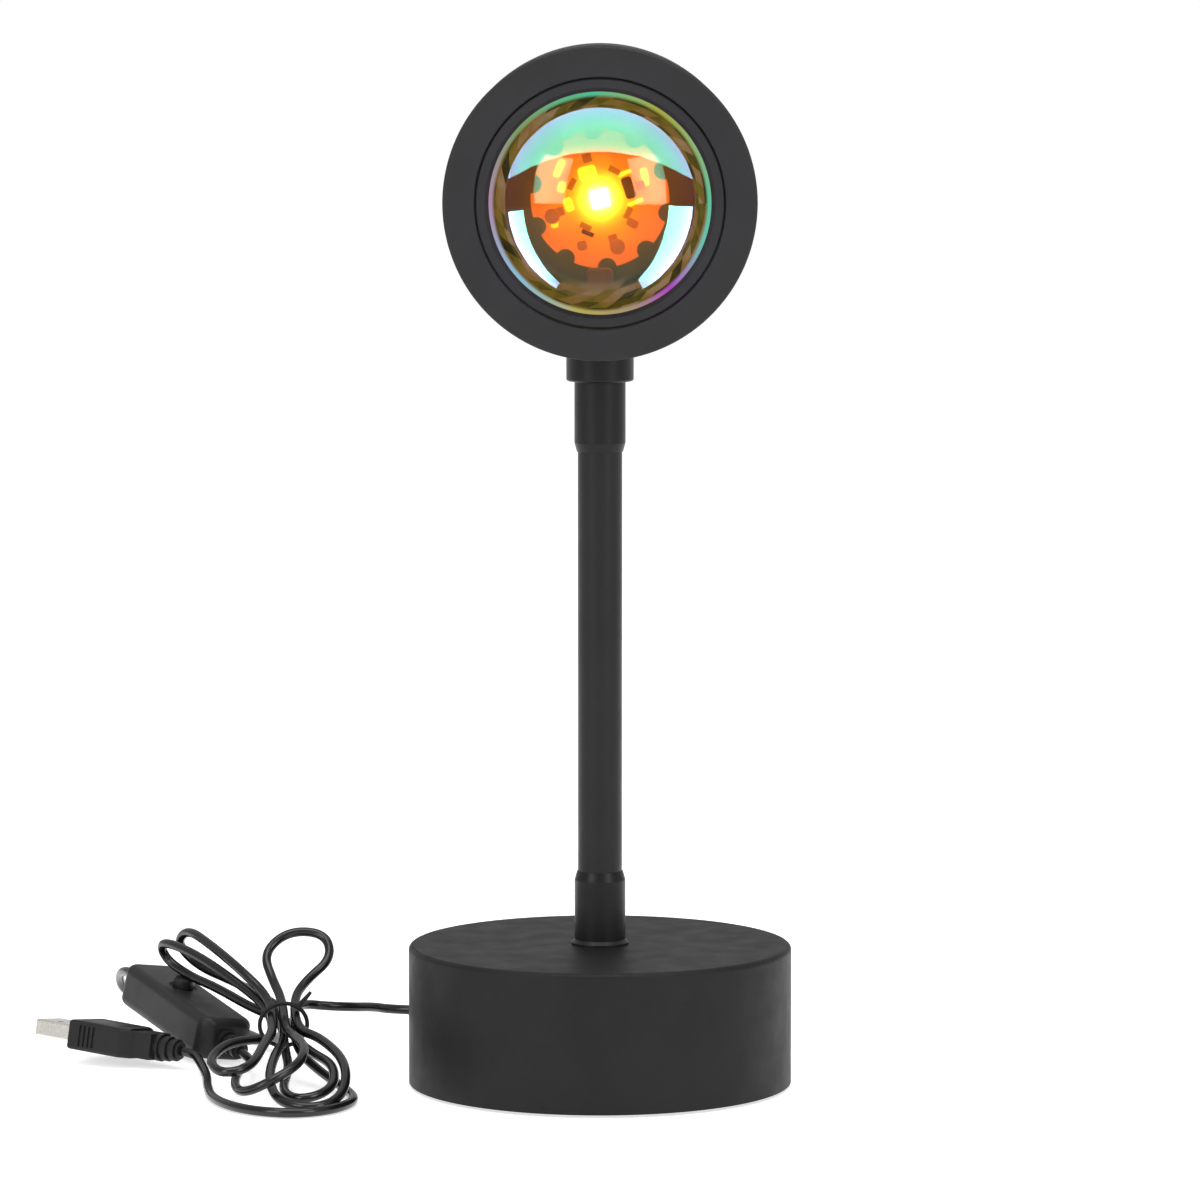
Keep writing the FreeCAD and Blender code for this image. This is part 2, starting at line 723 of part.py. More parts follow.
def led_chip():
    """The square light source, turned a little on its board, with a raised window."""
    base = plate_front + BOARD_THICKNESS
    half = LED_SIZE / 2
    chip = Part.makeBox(LED_SIZE, LED_SIZE, LED_HEIGHT * LED_BODY_SHARE, Vector(-half, -half, base))
    window = rod(LED_WINDOW, base + LED_HEIGHT * LED_WINDOW_SHARE, base + LED_HEIGHT)
    chip = chip.fuse(window)
    chip.rotate(Vector(0, 0, 0), Vector(0, 0, 1), LED_TURN)
    return chip


def board_components():
    """Resistors, small chips and two capacitors round the light source."""
    base = plate_front + BOARD_THICKNESS
    group = []
    for index in range(CHIP_COUNT):
        size, circle = (LONG_CHIP, LONG_CHIP_CIRCLE) if index % 2 else (SQUARE_CHIP, SQUARE_CHIP_CIRCLE)
        angle = 360 / CHIP_COUNT * index + CHIP_FIRST_ANGLE
        block = Part.makeBox(*size, Vector(-size[0] / 2, -size[1] / 2, base))
        block.rotate(Vector(0, 0, 0), Vector(0, 0, 1), angle + 90)
        block.translate(Vector(*polar(circle, angle), 0))
        group.append(block)
    for angle in CAPACITOR_ANGLES:
        place = polar(CAPACITOR_CIRCLE, angle)
        group.append(rod(CAPACITOR_DIAMETER, base, base + CAPACITOR_HEIGHT, *place))
    return group


def heatsink():
    """A finned aluminium plate, screwed to the shell's posts behind the board."""
    plate = rod(HEATSINK_DIAMETER, plate_back, plate_front)
    span = rod(2 * FIN_SPAN_RADIUS, plate_back - FIN_DEPTH, plate_back + 0.5)
    for index in range(FIN_COUNT):
        x = (index - (FIN_COUNT - 1) / 2) * FIN_PITCH
        corner = Vector(x - FIN_THICKNESS / 2, -FIN_SPAN_RADIUS, plate_back - FIN_DEPTH)
        fin = Part.makeBox(FIN_THICKNESS, 2 * FIN_SPAN_RADIUS, FIN_DEPTH + 0.5, corner)
        plate = plate.fuse(fin.common(span))
    hole = rod(SCREW_THREAD + 0.4, plate_back - 1, plate_front + 1)
    for copy in radial_copies(hole, HEAD_POST_CIRCLE, HEAD_POST_ANGLES):
        plate = plate.cut(copy)
    cover_post = rod(HEAD_POST_DIAMETER + 0.6, plate_back - 1, plate_front + 1)
    for copy in radial_copies(cover_post, HEAD_POST_CIRCLE, COVER_POST_ANGLES):
        plate = plate.cut(copy)
    hole_y = -BOARD_DIAMETER / 2 - WIRE_HOLE_OUT
    wire_hole = rod(WIRE_HOLE_DIAMETER, plate_back - 1, plate_front + 1, 0, hole_y)
    return plate.cut(wire_hole).removeSplitter()


def screw_group(screw, circle, angles, level, facing_back):
    """Copies of one screw on a circle, their heads at a level, turned to face the rear if asked."""
    turn = Rotation(Vector(1, 0, 0), 180 if facing_back else 0)
    seated = placed(screw, Placement(Vector(0, 0, level), turn))
    return radial_copies(seated, circle, angles)


def rear_cover():
    """The back cap: a lipped disc with a rosette of vent slots and countersunk holes."""
    back = -HEAD_REAR
    edge = HEAD_EDGE_RADIUS
    bulge = edge * (1 - math.sqrt(0.5))
    lip_outer = head_inner / 2 - COVER_LIP_GAP
    lip_inner = lip_outer - COVER_LIP_WALL
    cover = turned(
        [
            (0, back),
            (head_radius - edge, back),
            (head_radius, back + edge, (head_radius - bulge, back + bulge)),
            (head_radius, shell_rear),
            (lip_outer, shell_rear),
            (lip_outer, shell_rear + COVER_LIP),
            (lip_inner, shell_rear + COVER_LIP),
            (lip_inner, shell_rear),
            (0, shell_rear),
        ]
    )
    post_way = rod(HEAD_POST_DIAMETER + 0.6, shell_rear, shell_rear + COVER_LIP + 1)
    for copy in radial_copies(post_way, HEAD_POST_CIRCLE, COVER_POST_ANGLES):
        cover = cover.cut(copy)
    slot_length = COVER_SLOT_OUTER - COVER_SLOT_INNER
    corner = Vector(COVER_SLOT_INNER, -COVER_SLOT_WIDTH / 2, back - 1)
    slot = Part.makeBox(slot_length, COVER_SLOT_WIDTH, 6, corner)
    slot = slot.fuse(rod(COVER_SLOT_WIDTH, back - 1, back + 5, COVER_SLOT_INNER, 0))
    slot = slot.fuse(rod(COVER_SLOT_WIDTH, back - 1, back + 5, COVER_SLOT_OUTER, 0))
    for index in range(COVER_SLOTS):
        copy = slot.copy()
        copy.rotate(Vector(0, 0, 0), Vector(0, 0, 1), 360 / COVER_SLOTS * index)
        cover = cover.cut(copy)
    sink = countersink(back, shell_rear)
    for copy in radial_copies(sink, HEAD_POST_CIRCLE, COVER_POST_ANGLES):
        cover = cover.cut(copy)
    return cover


def head_collar():
    """The short boss under the head, hollowed on top to the barrel's curve."""
    collar = rod(COLLAR_DIAMETER, ferrule_top, HEAD_CENTRE_Z - head_radius + 4)
    collar = collar.cut(rod(stud_hole, ferrule_top - 1, HEAD_CENTRE_Z))
    barrel = Part.makeCylinder(head_radius, 60, Vector(0, -30, HEAD_CENTRE_Z), Vector(0, 1, 0))
    low = [edge for edge in collar.Edges if abs(edge.BoundBox.ZMax - ferrule_top) < 0.01]
    rim = [edge for edge in low if edge.Length > 40]
    return collar.makeFillet(0.6, rim).cut(barrel)


# ---- switch on the cord, in its own frame: +X towards the far end, +Z out of the button ----
def heading_placement(point, heading, roll):
    """A frame at a point whose +X follows a heading, level across and then rolled about it."""
    x_axis = Vector(heading).normalize()
    y_axis = Vector(0, 0, 1).cross(x_axis).normalize()
    z_axis = x_axis.cross(y_axis)
    level = Rotation(x_axis, y_axis, z_axis, "ZXY")
    return Placement(point, level.multiply(Rotation(Vector(1, 0, 0), roll)))


switch_placement = heading_placement(SWITCH_NEAR_END, SWITCH_HEADING, SWITCH_ROLL)
plug_placement = heading_placement(PLUG_RELIEF_END, PLUG_HEADING, PLUG_ROLL)
switch_half = SWITCH_THICKNESS / 2
parting = SWITCH_PARTING - switch_half
button_x = SWITCH_LENGTH / 2 + BUTTON_BACK_SHIFT


def switch_blank(inset):
    """The rounded outside of the switch, or its inside when inset by the wall."""
    size = (SWITCH_LENGTH - 2 * inset, SWITCH_WIDTH - 2 * inset, SWITCH_THICKNESS - 2 * inset)
    blank = Part.makeBox(*size, Vector(inset, inset - SWITCH_WIDTH / 2, inset - switch_half))
    upright = [edge for edge in blank.Edges if abs(edge.tangentAt(edge.FirstParameter).z) > 0.9]
    blank = blank.makeFillet(max(SWITCH_EDGE_RADIUS * 1.6 - inset, 0.6), upright)
    rims = [edge for edge in blank.Edges if abs(edge.BoundBox.ZLength) < 0.01]
    return blank.makeFillet(max(SWITCH_EDGE_RADIUS - inset, 0.5), rims)


def relief_way():
    """The bores at both ends of the switch for the stubs of the strain reliefs."""
    return Part.makeCylinder(
        RELIEF_TIP_DIAMETER / 2, SWITCH_LENGTH + 2, Vector(-1, 0, 0), Vector(1, 0, 0)
    )


def switch_lower():
    """The lower half of the switch housing."""
    corner = Vector(-1, -SWITCH_WIDTH / 2 - 1, parting - 20)
    below = Part.makeBox(SWITCH_LENGTH + 2, SWITCH_WIDTH + 2, 20, corner)
    half = switch_blank(0).cut(switch_blank(SWITCH_WALL)).common(below)
    return half.cut(relief_way())


def switch_upper():
    """The upper half, dished round the button and bored for it."""
    corner = Vector(-1, -SWITCH_WIDTH / 2 - 1, parting)
    above = Part.makeBox(SWITCH_LENGTH + 2, SWITCH_WIDTH + 2, 20, corner)
    half = switch_blank(0).cut(switch_blank(SWITCH_WALL)).common(above)
    dish = Part.makeCone(
        BUTTON_DISH_DIAMETER / 2 - 0.4,
        BUTTON_DISH_DIAMETER / 2 + 0.2,
        BUTTON_DISH_DEPTH + 0.01,
        Vector(button_x, 0, switch_half - BUTTON_DISH_DEPTH),
    )
    hole = rod(BUTTON_DIAMETER + 2 * BUTTON_CLEARANCE, 0, switch_half + 1, button_x, 0)
    return half.cut(dish).cut(hole).cut(relief_way())


def switch_button():
    """A domed push button with a flange inside that stops it from coming out."""
    top = switch_half + BUTTON_ABOVE
    radius = BUTTON_DIAMETER / 2
    flange_top = switch_half - SWITCH_WALL - FIT_CLEARANCE
    button = turned(
        [
            (0, flange_top - BUTTON_FLANGE),
            (BUTTON_FLANGE_DIAMETER / 2, flange_top - BUTTON_FLANGE),
            (BUTTON_FLANGE_DIAMETER / 2, flange_top),
            (radius, flange_top),
            (radius, top - 0.7),
            (radius - 0.7, top - 0.1, (radius - 0.2, top - 0.25)),
            (0, top),
        ]
    )
    button.translate(Vector(button_x, 0, 0))
    return button


def switch_element():
    """The latching contact block under the button, seated on the lower half."""
    floor = SWITCH_WALL - switch_half
    flange_bottom = switch_half - SWITCH_WALL - FIT_CLEARANCE - BUTTON_FLANGE
    top = flange_bottom - BUTTON_TRAVEL - BUTTON_OVERTRAVEL
    half = ELEMENT_SIZE / 2
    block = Part.makeBox(ELEMENT_SIZE, ELEMENT_SIZE, top - floor, Vector(button_x - half, -half, floor))
    pins = [
        Part.makeBox(0.6, 1.2, 1.6, Vector(button_x + x, y - 0.6, floor + 0.01))
        for x in ELEMENT_PIN_ROWS
        for y in ELEMENT_PIN_SIDES
    ]
    for pin in pins:
        block = block.fuse(pin)
    return block.removeSplitter()


def ribbed_relief(length, base, tip, ribs):
    """A tapering strain relief along +X from Z-axis profile: rings cut apart by grooves."""
    step = length / (2 * ribs)
    points = [(0.0, 0.0)]
    for index in range(ribs):
        radius = (base + (tip - base) * index / ribs) / 2
        start = 2 * index * step
        points += [(radius, start), (radius, start + step * 1.15)]
        points += [(radius - 0.7, start + step * 1.15), (radius - 0.7, start + 2 * step)]
    points += [(0.0, length)]
    relief = turned(points)
    return placed(relief, Placement(Vector(0, 0, 0), Rotation(Vector(0, 1, 0), 90)))


def switch_relief(length, far):
    """A ribbed strain relief with a stub gripped by the switch's end wall."""
    relief = ribbed_relief(length, RELIEF_BASE_DIAMETER, RELIEF_TIP_DIAMETER, RELIEF_RIBS)
    stub_radius = RELIEF_TIP_DIAMETER / 2 - FIT_CLEARANCE
    stub_length = SWITCH_WALL + 1
    stub = Part.makeCylinder(stub_radius, stub_length, Vector(-stub_length, 0, 0), Vector(1, 0, 0))
    relief = relief.fuse(stub)
    turn = Rotation(Vector(0, 0, 1), 0 if far else 180)
    return placed(relief, Placement(Vector(SWITCH_LENGTH if far else 0, 0, 0), turn))


# ---- plug, in its own frame: the relief's end at the origin, +X towards the metal tip ----
body_start = PLUG_RELIEF_LENGTH
body_end = body_start + PLUG_BODY_LENGTH
shell_end = body_end + PLUG_SHELL_EXPOSED
tongue_low = PLUG_SHELL_WALL - PLUG_SHELL_HEIGHT / 2 + FIT_CLEARANCE


def plug_shell():
    """The folded steel sheath of the plug, with two square windows above and below."""
    start = body_end - PLUG_SHELL_BURIED
    length = shell_end - start
    width = PLUG_SHELL_WIDTH
    height = PLUG_SHELL_HEIGHT
    wall = PLUG_SHELL_WALL
    sheath = Part.makeBox(length, width, height, Vector(start, -width / 2, -height / 2))
    corners = [edge for edge in sheath.Edges if abs(edge.tangentAt(edge.FirstParameter).x) > 0.9]
    sheath = sheath.makeFillet(PLUG_SHELL_EDGE, corners)
    inner_corner = Vector(start - 1, wall - width / 2, wall - height / 2)
    inside = Part.makeBox(length + 2, width - 2 * wall, height - 2 * wall, inner_corner)
    sheath = sheath.cut(inside)
    for side in (-1, 1):
        y = side * PLUG_WINDOW_ACROSS - PLUG_WINDOW / 2
        corner = Vector(shell_end - PLUG_WINDOW_BACK, y, -height / 2 - 1)
        sheath = sheath.cut(Part.makeBox(PLUG_WINDOW, PLUG_WINDOW, height + 2, corner))
    return sheath


def plug_tongue():
    """The plastic tongue in the lower half of the sheath that carries the contacts."""
    start = body_end - PLUG_SHELL_BURIED
    length = shell_end - PLUG_TONGUE_RECESS - start
    width = PLUG_SHELL_WIDTH - 2 * PLUG_SHELL_WALL - 2 * FIT_CLEARANCE
    tongue = Part.makeBox(length, width, PLUG_TONGUE_THICKNESS, Vector(start, -width / 2, tongue_low))
    groove_width = CONTACT_WIDTH + 2 * FIT_CLEARANCE
    for x in CONTACT_OFFSETS:
        corner = Vector(shell_end - CONTACT_BACK, x - groove_width / 2, tongue_low + CONTACT_RISE)
        tongue = tongue.cut(Part.makeBox(CONTACT_LENGTH, groove_width, 0.5, corner))
    return tongue


def plug_contacts():
    """Four gilt strips let into the tongue."""
    strips = []
    for x in CONTACT_OFFSETS:
        corner = Vector(shell_end - CONTACT_BACK, x - CONTACT_WIDTH / 2, tongue_low + CONTACT_RISE)
        strips.append(Part.makeBox(CONTACT_LENGTH, CONTACT_WIDTH, CONTACT_THICKNESS, corner))
    return strips


def plug_body():
    """The moulded grip: wide at the sheath, stepped down at two thirds, with side ribs."""
    wide = PLUG_BODY_WIDTH / 2
    tail = PLUG_TAIL_WIDTH / 2
    step = body_start + PLUG_BODY_LENGTH * PLUG_STEP_SHARE
    outline = [
        (body_start, -tail),
        (step - PLUG_STEP_SLOPE, -tail),
        (step, -wide),
        (body_end, -wide),
        (body_end, wide),
        (step, wide),
        (step - PLUG_STEP_SLOPE, tail),
        (body_start, tail),
        (body_start, -tail),
    ]
    points = [Vector(x, y, -PLUG_BODY_HEIGHT / 2) for x, y in outline]
    body = Part.Face(Part.makePolygon(points)).extrude(Vector(0, 0, PLUG_BODY_HEIGHT))
    rims = [edge for edge in body.Edges if abs(edge.BoundBox.ZLength) < 0.01]
    body = body.makeFillet(0.9, rims)
    slim = (PLUG_BODY_HEIGHT - PLUG_TAIL_HEIGHT) / 2
    for side in (-1, 1):
        low = side * PLUG_BODY_HEIGHT / 2 - (slim if side > 0 else 0)
        shaved = Part.makeBox(step - 1.0 - body_start, 20, slim, Vector(body_start - 1, -10, low))
        body = body.cut(shaved)
    rib_length, rib_depth = PLUG_GROOVE
    for side in (-1, 1):
        for index in range(PLUG_RIBS):
            x = body_end - PLUG_RIB_START - index * PLUG_RIB_PITCH
            corner = Vector(x, side * wide - rib_depth / 2, PLUG_RIB_INSET - PLUG_BODY_HEIGHT / 2)
            groove = Part.makeBox(rib_length, rib_depth, PLUG_BODY_HEIGHT - 2 * PLUG_RIB_INSET, corner)
            body = body.cut(groove)
    body = body.cut(plug_frame())
    width = PLUG_SHELL_WIDTH + 2 * FIT_CLEARANCE
    height = PLUG_SHELL_HEIGHT + 2 * FIT_CLEARANCE
    mouth = Vector(body_end - PLUG_SHELL_BURIED, -width / 2, -height / 2)
    return body.cut(Part.makeBox(PLUG_SHELL_BURIED + 1, width, height, mouth))


def plug_frame():
    """The cutter for the thin framed line on top of the grip."""
    line = PLUG_FRAME_LINE
    left = body_end - PLUG_FRAME_BACK
    low = PLUG_BODY_HEIGHT / 2 - PLUG_FRAME_DEPTH
    inner_length = PLUG_FRAME_LENGTH - 2 * line
    inner_width = PLUG_FRAME_WIDTH - 2 * line
    outer = Part.makeBox(PLUG_FRAME_LENGTH, PLUG_FRAME_WIDTH, 0.6, Vector(left, -PLUG_FRAME_WIDTH / 2, low))
    inner = Part.makeBox(inner_length, inner_width, 0.8, Vector(left + line, -inner_width / 2, low - 0.1))
    return outer.cut(inner)


def plug_relief():
    """The round ribbed strain relief that tapers from the grip to the cord."""
    relief = ribbed_relief(PLUG_RELIEF_LENGTH, PLUG_RELIEF_BASE, PLUG_RELIEF_TIP, RELIEF_RIBS)
    return placed(relief, Placement(Vector(body_start, 0, 0), Rotation(Vector(0, 0, 1), 180)))


# ---- cord ----
# The tie gathers the strands: across it they keep a grid of slots, (column, row), one pitch apart.
TIE_CENTRE = Vector(-83.5, 12.0, 13.5)
TIE_FORWARD = Vector(0.10, -0.95, -0.30)
TIE_WIRE = 1.1
TIE_TAIL = 5.5
STRAND_PITCH = 3.05
STRAIGHT_AT_TIE = 3.0
CORD_RUN_SHARE = 0.45

tie_forward = Vector(TIE_FORWARD).normalize()
tie_right = Vector(0, 0, 1).cross(tie_forward).normalize()
tie_up = tie_forward.cross(tie_right)

# Each lobe of the hank: which side of the tie it leaves (+1 front, -1 rear), the slot it leaves by,
# the slot it comes back to, its far tip, the middle between its two legs there, and half its spread.
LOBES = (
    (+1, (1, 0), (0, -1), (-74.0, -41.0, 1.8), (-76.8, -20.0, 2.9), (7.0, 1.0, 0.8)),
    (-1, (0, -1), (-1, 0), (-112.2, 51.6, 24.6), (-102.6, 37.6, 20.3), (2.8, 1.6, -4.2)),
    (+1, (-1, 0), (-1, 1), (-96.0, -21.0, 4.6), (-92.3, -7.5, 10.2), (-4.0, 2.0, -2.0)),
    (-1, (-1, 1), (0, 0), (-109.8, 53.2, 27.3), (-99.8, 39.2, 23.1), (-2.8, -1.6, 4.2)),
    (+1, (0, 0), (1, 1), (-74.0, -36.5, 5.3), (-77.3, -17.0, 6.6), (-7.0, -1.0, -1.0)),
    (-1, (1, 1), (0, 1), (-80.6, 37.5, 33.4), (-80.9, 29.2, 27.0), (7.8, 2.5, -2.0)),
    (+1, (0, 1), None, (-79.5, -29.0, 9.0), (-81.8, -13.0, 10.0), (4.9, 0.0, 1.2)),
)


def slot_point(column, row, forward=0.0):
    """A point on a strand's line through the tie."""
    across = tie_right * (column * STRAND_PITCH) + tie_up * (row * STRAND_PITCH)
    return TIE_CENTRE + across + tie_forward * forward


grommet_mouth = grommet_placement().multVec(Vector(0, 0, GROMMET_FLANGE))
near_relief_tip = switch_placement.multVec(Vector(-NEAR_RELIEF_LENGTH, 0, 0))
far_relief_tip = switch_placement.multVec(Vector(SWITCH_LENGTH + FAR_RELIEF_LENGTH, 0, 0))
switch_heading = Vector(SWITCH_HEADING).normalize()
plug_heading = Vector(PLUG_HEADING).normalize()
lead_end = slot_point(1, 0, -2 * STRAIGHT_AT_TIE)
tail_slot = (1, -1)

# From the base to the tie.
LEAD_ROUTE = [
    grommet_mouth,
    Vector(-55.5, 15.0, 17.1),
    Vector(-60.0, 21.8, 16.6),
    Vector(-65.5, 28.4, 15.4),
    Vector(-73.3, 31.4, 15.2),
    Vector(-78.8, 28.9, 16.2),
    lead_end - tie_forward * 6,
    lead_end,
]
# From the far end of the switch round behind it and back to the tie.
RETURN_ROUTE = [
    far_relief_tip,
    far_relief_tip + switch_heading * 6,
    Vector(-133.0, 90.0, 14.5),
    Vector(-133.0, 99.0, 8.5),
    Vector(-125.5, 104.5, 3.2),
    Vector(-115.0, 101.0, 1.6),
    Vector(-105.5, 88.0, 1.5),
    Vector(-98.0, 71.0, 1.5),
    Vector(-91.0, 54.0, 1.8),
    Vector(-86.6, 42.0, 4.2),
    Vector(-83.8, 32.4, 9.4),
    slot_point(*tail_slot, -STRAIGHT_AT_TIE - 9),
    slot_point(*tail_slot, -STRAIGHT_AT_TIE - 1),
]
# Through the tie, round the front of the hank and out to the plug.
TAIL_ROUTE = [
    slot_point(*tail_slot, -STRAIGHT_AT_TIE - 1),
    slot_point(*tail_slot, STRAIGHT_AT_TIE + 6),
    Vector(-72.8, -4.5, 3.6),
    Vector(-65.4, -18.5, 1.6),
    Vector(-62.4, -32.5, 1.5),
    Vector(-68.0, -46.0, 1.5),
    Vector(-79.0, -51.5, 1.5),
    Vector(-91.5, -45.0, 1.5),
    Vector(-99.5, -31.0, 1.5),
    Vector(-102.0, -14.0, 1.5),
    Vector(-103.0, 1.0, 1.7),
    Vector(-105.5, 12.0, 3.4),
    PLUG_RELIEF_END - plug_heading * 4,
    PLUG_RELIEF_END,
]


def hank_stations():
    """Points of the hank with their headings: through the tie, out along a lobe, round and back."""
    stations = [(lead_end, tie_forward)]
    for side, leaving, returning, tip, middle, half in LOBES:
        tip = Vector(*tip)
        middle = Vector(*middle)
        half = Vector(*half)
        outward = (tip - middle).normalize()
        stations.append((slot_point(*leaving, side * STRAIGHT_AT_TIE), tie_forward * side))
        stations.append((middle + half, outward))
        stations.append((tip, Vector(half).normalize() * -1))
        stations.append((middle - half, outward * -1))
        if returning:
            stations.append((slot_point(*returning, side * STRAIGHT_AT_TIE), tie_forward * -side))
    stations.append((near_relief_tip, switch_heading))
    return stations


def biarc_corners(start, start_heading, end, end_heading):
    """The two corners and the joint of a pair of arcs that leave and arrive along given headings."""
    chord = end - start
    headings = start_heading + end_heading
    spread = 2 * (1 - start_heading.dot(end_heading))
    if spread < 1e-9:
        reach = chord.dot(chord) / (4 * chord.dot(start_heading))
    else:
        along = chord.dot(headings)
        reach = (math.sqrt(along**2 + spread * chord.dot(chord)) - along) / spread
    first = start + start_heading * reach
    second = end - end_heading * reach
    return first, (first + second) * 0.5, second


def rounded_corner(start, corner, end):
    """The edge that turns a corner between two points equally far from it, and its radius."""
    to_start = (start - corner).normalize()
    to_end = (end - corner).normalize()
    half_angle = to_start.getAngle(to_end) / 2
    if math.pi / 2 - half_angle < 1e-4:
        return Part.LineSegment(start, end).toShape(), None
    reach = (start - corner).Length
    radius = reach * math.tan(half_angle)
    inward = (to_start + to_end).normalize()
    middle = corner + inward * (reach / math.cos(half_angle) - radius)
    return Part.Arc(start, middle, end).toShape(), radius


def swept(edges):
    """A round cord along an unbroken row of edges."""
    first = edges[0]
    start = first.valueAt(first.FirstParameter)
    heading = first.tangentAt(first.FirstParameter)
    section = Part.Wire([Part.Circle(start, heading, CORD_DIAMETER / 2).toShape()])
    return Part.Wire(edges).makePipeShell([section], True, False)


def tube_edges(route):
    """Straight runs joined by arcs, each as large as its two runs allow; and the arcs' radii."""
    edges = []
    radii = []
    last = route[0]
    for index in range(1, len(route) - 1):
        corner = route[index]
        run_in = (corner - route[index - 1]).Length
        run_out = (route[index + 1] - corner).Length
        reach = CORD_RUN_SHARE * min(run_in, run_out)
        start = corner + (route[index - 1] - corner).normalize() * reach
        end = corner + (route[index + 1] - corner).normalize() * reach
        edges.append(Part.LineSegment(last, start).toShape())
        arc, radius = rounded_corner(start, corner, end)
        edges.append(arc)
        radii.append(round(radius, 1))
        last = end
    edges.append(Part.LineSegment(last, route[-1]).toShape())
    return edges, radii


def free_cord(name, route):
    """A free stretch of the cord; prints its length, radii and volume against section times length."""
    edges, radii = tube_edges(route)
    solid = swept(edges)
    length = sum(edge.Length for edge in edges)
    ratio = solid.Volume / (math.pi * CORD_DIAMETER**2 / 4 * length)
    print(f"{name}: {length:.0f} mm long, radii {radii}, volume ratio {ratio:.4f}")
    return solid


def hank_edges():
    """The whole hank as one row of arcs and straight guides."""
    stations = hank_stations()
    edges = []
    radii = []
    for (start, leaving), (end, arriving) in zip(stations, stations[1:]):
        first, joint, second = biarc_corners(start, leaving, end, arriving)
        for a, corner, b in ((start, first, joint), (joint, second, end)):
            edge, radius = rounded_corner(a, corner, b)
            edges.append(edge)
            radii += [radius] if radius else []
    return edges, radii


def least_gap(edges):
    """The least gap between two turns of the hank, from points about 1 mm apart along it."""
    points = []
    travelled = 0.0
    for edge in edges:
        count = max(2, round(edge.Length))
        span = edge.LastParameter - edge.FirstParameter
        for step in range(count):
            share = step / count
            point = edge.valueAt(edge.FirstParameter + span * share)
            points.append((point, travelled + edge.Length * share))
        travelled += edge.Length
    nearest = 1000.0
    for index, (point, place) in enumerate(points):
        for other, other_place in points[index + 1 :]:
            if other_place - place > 4 * CORD_DIAMETER:
                nearest = min(nearest, point.distanceToPoint(other))
    return nearest - CORD_DIAMETER


def cord_hank():
    """The tied hank: seven lobes of one unbroken cord, from the lead to the switch."""
    edges, radii = hank_edges()
    solid = swept(edges)
    length = sum(edge.Length for edge in edges)
    ratio = solid.Volume / (math.pi * CORD_DIAMETER**2 / 4 * length)
    gap = least_gap(edges)
    print(f"hank: {length:.0f} mm long, least radius {min(radii):.1f}, volume ratio {ratio:.4f}")
    print(f"hank: least gap to itself {gap:.2f} mm, wanted {CORD_GAP_WANTED}")
    return solid


def cord_tie():
    """The wire tie: a ring round the strands with its twisted ends standing off it."""
    reach = math.sqrt(2) * STRAND_PITCH + CORD_DIAMETER / 2
    radius = reach + 0.15 + TIE_WIRE / 2
    loop = Part.makeTorus(radius, TIE_WIRE / 2, TIE_CENTRE, tie_forward)
    direction = (tie_up * 0.8 + tie_right * 0.6).normalize()
    root = TIE_CENTRE + direction * radius
    tail = Part.makeCone(TIE_WIRE * 0.75, TIE_WIRE * 0.4, TIE_TAIL, root, direction)
    return loop.fuse(tail)


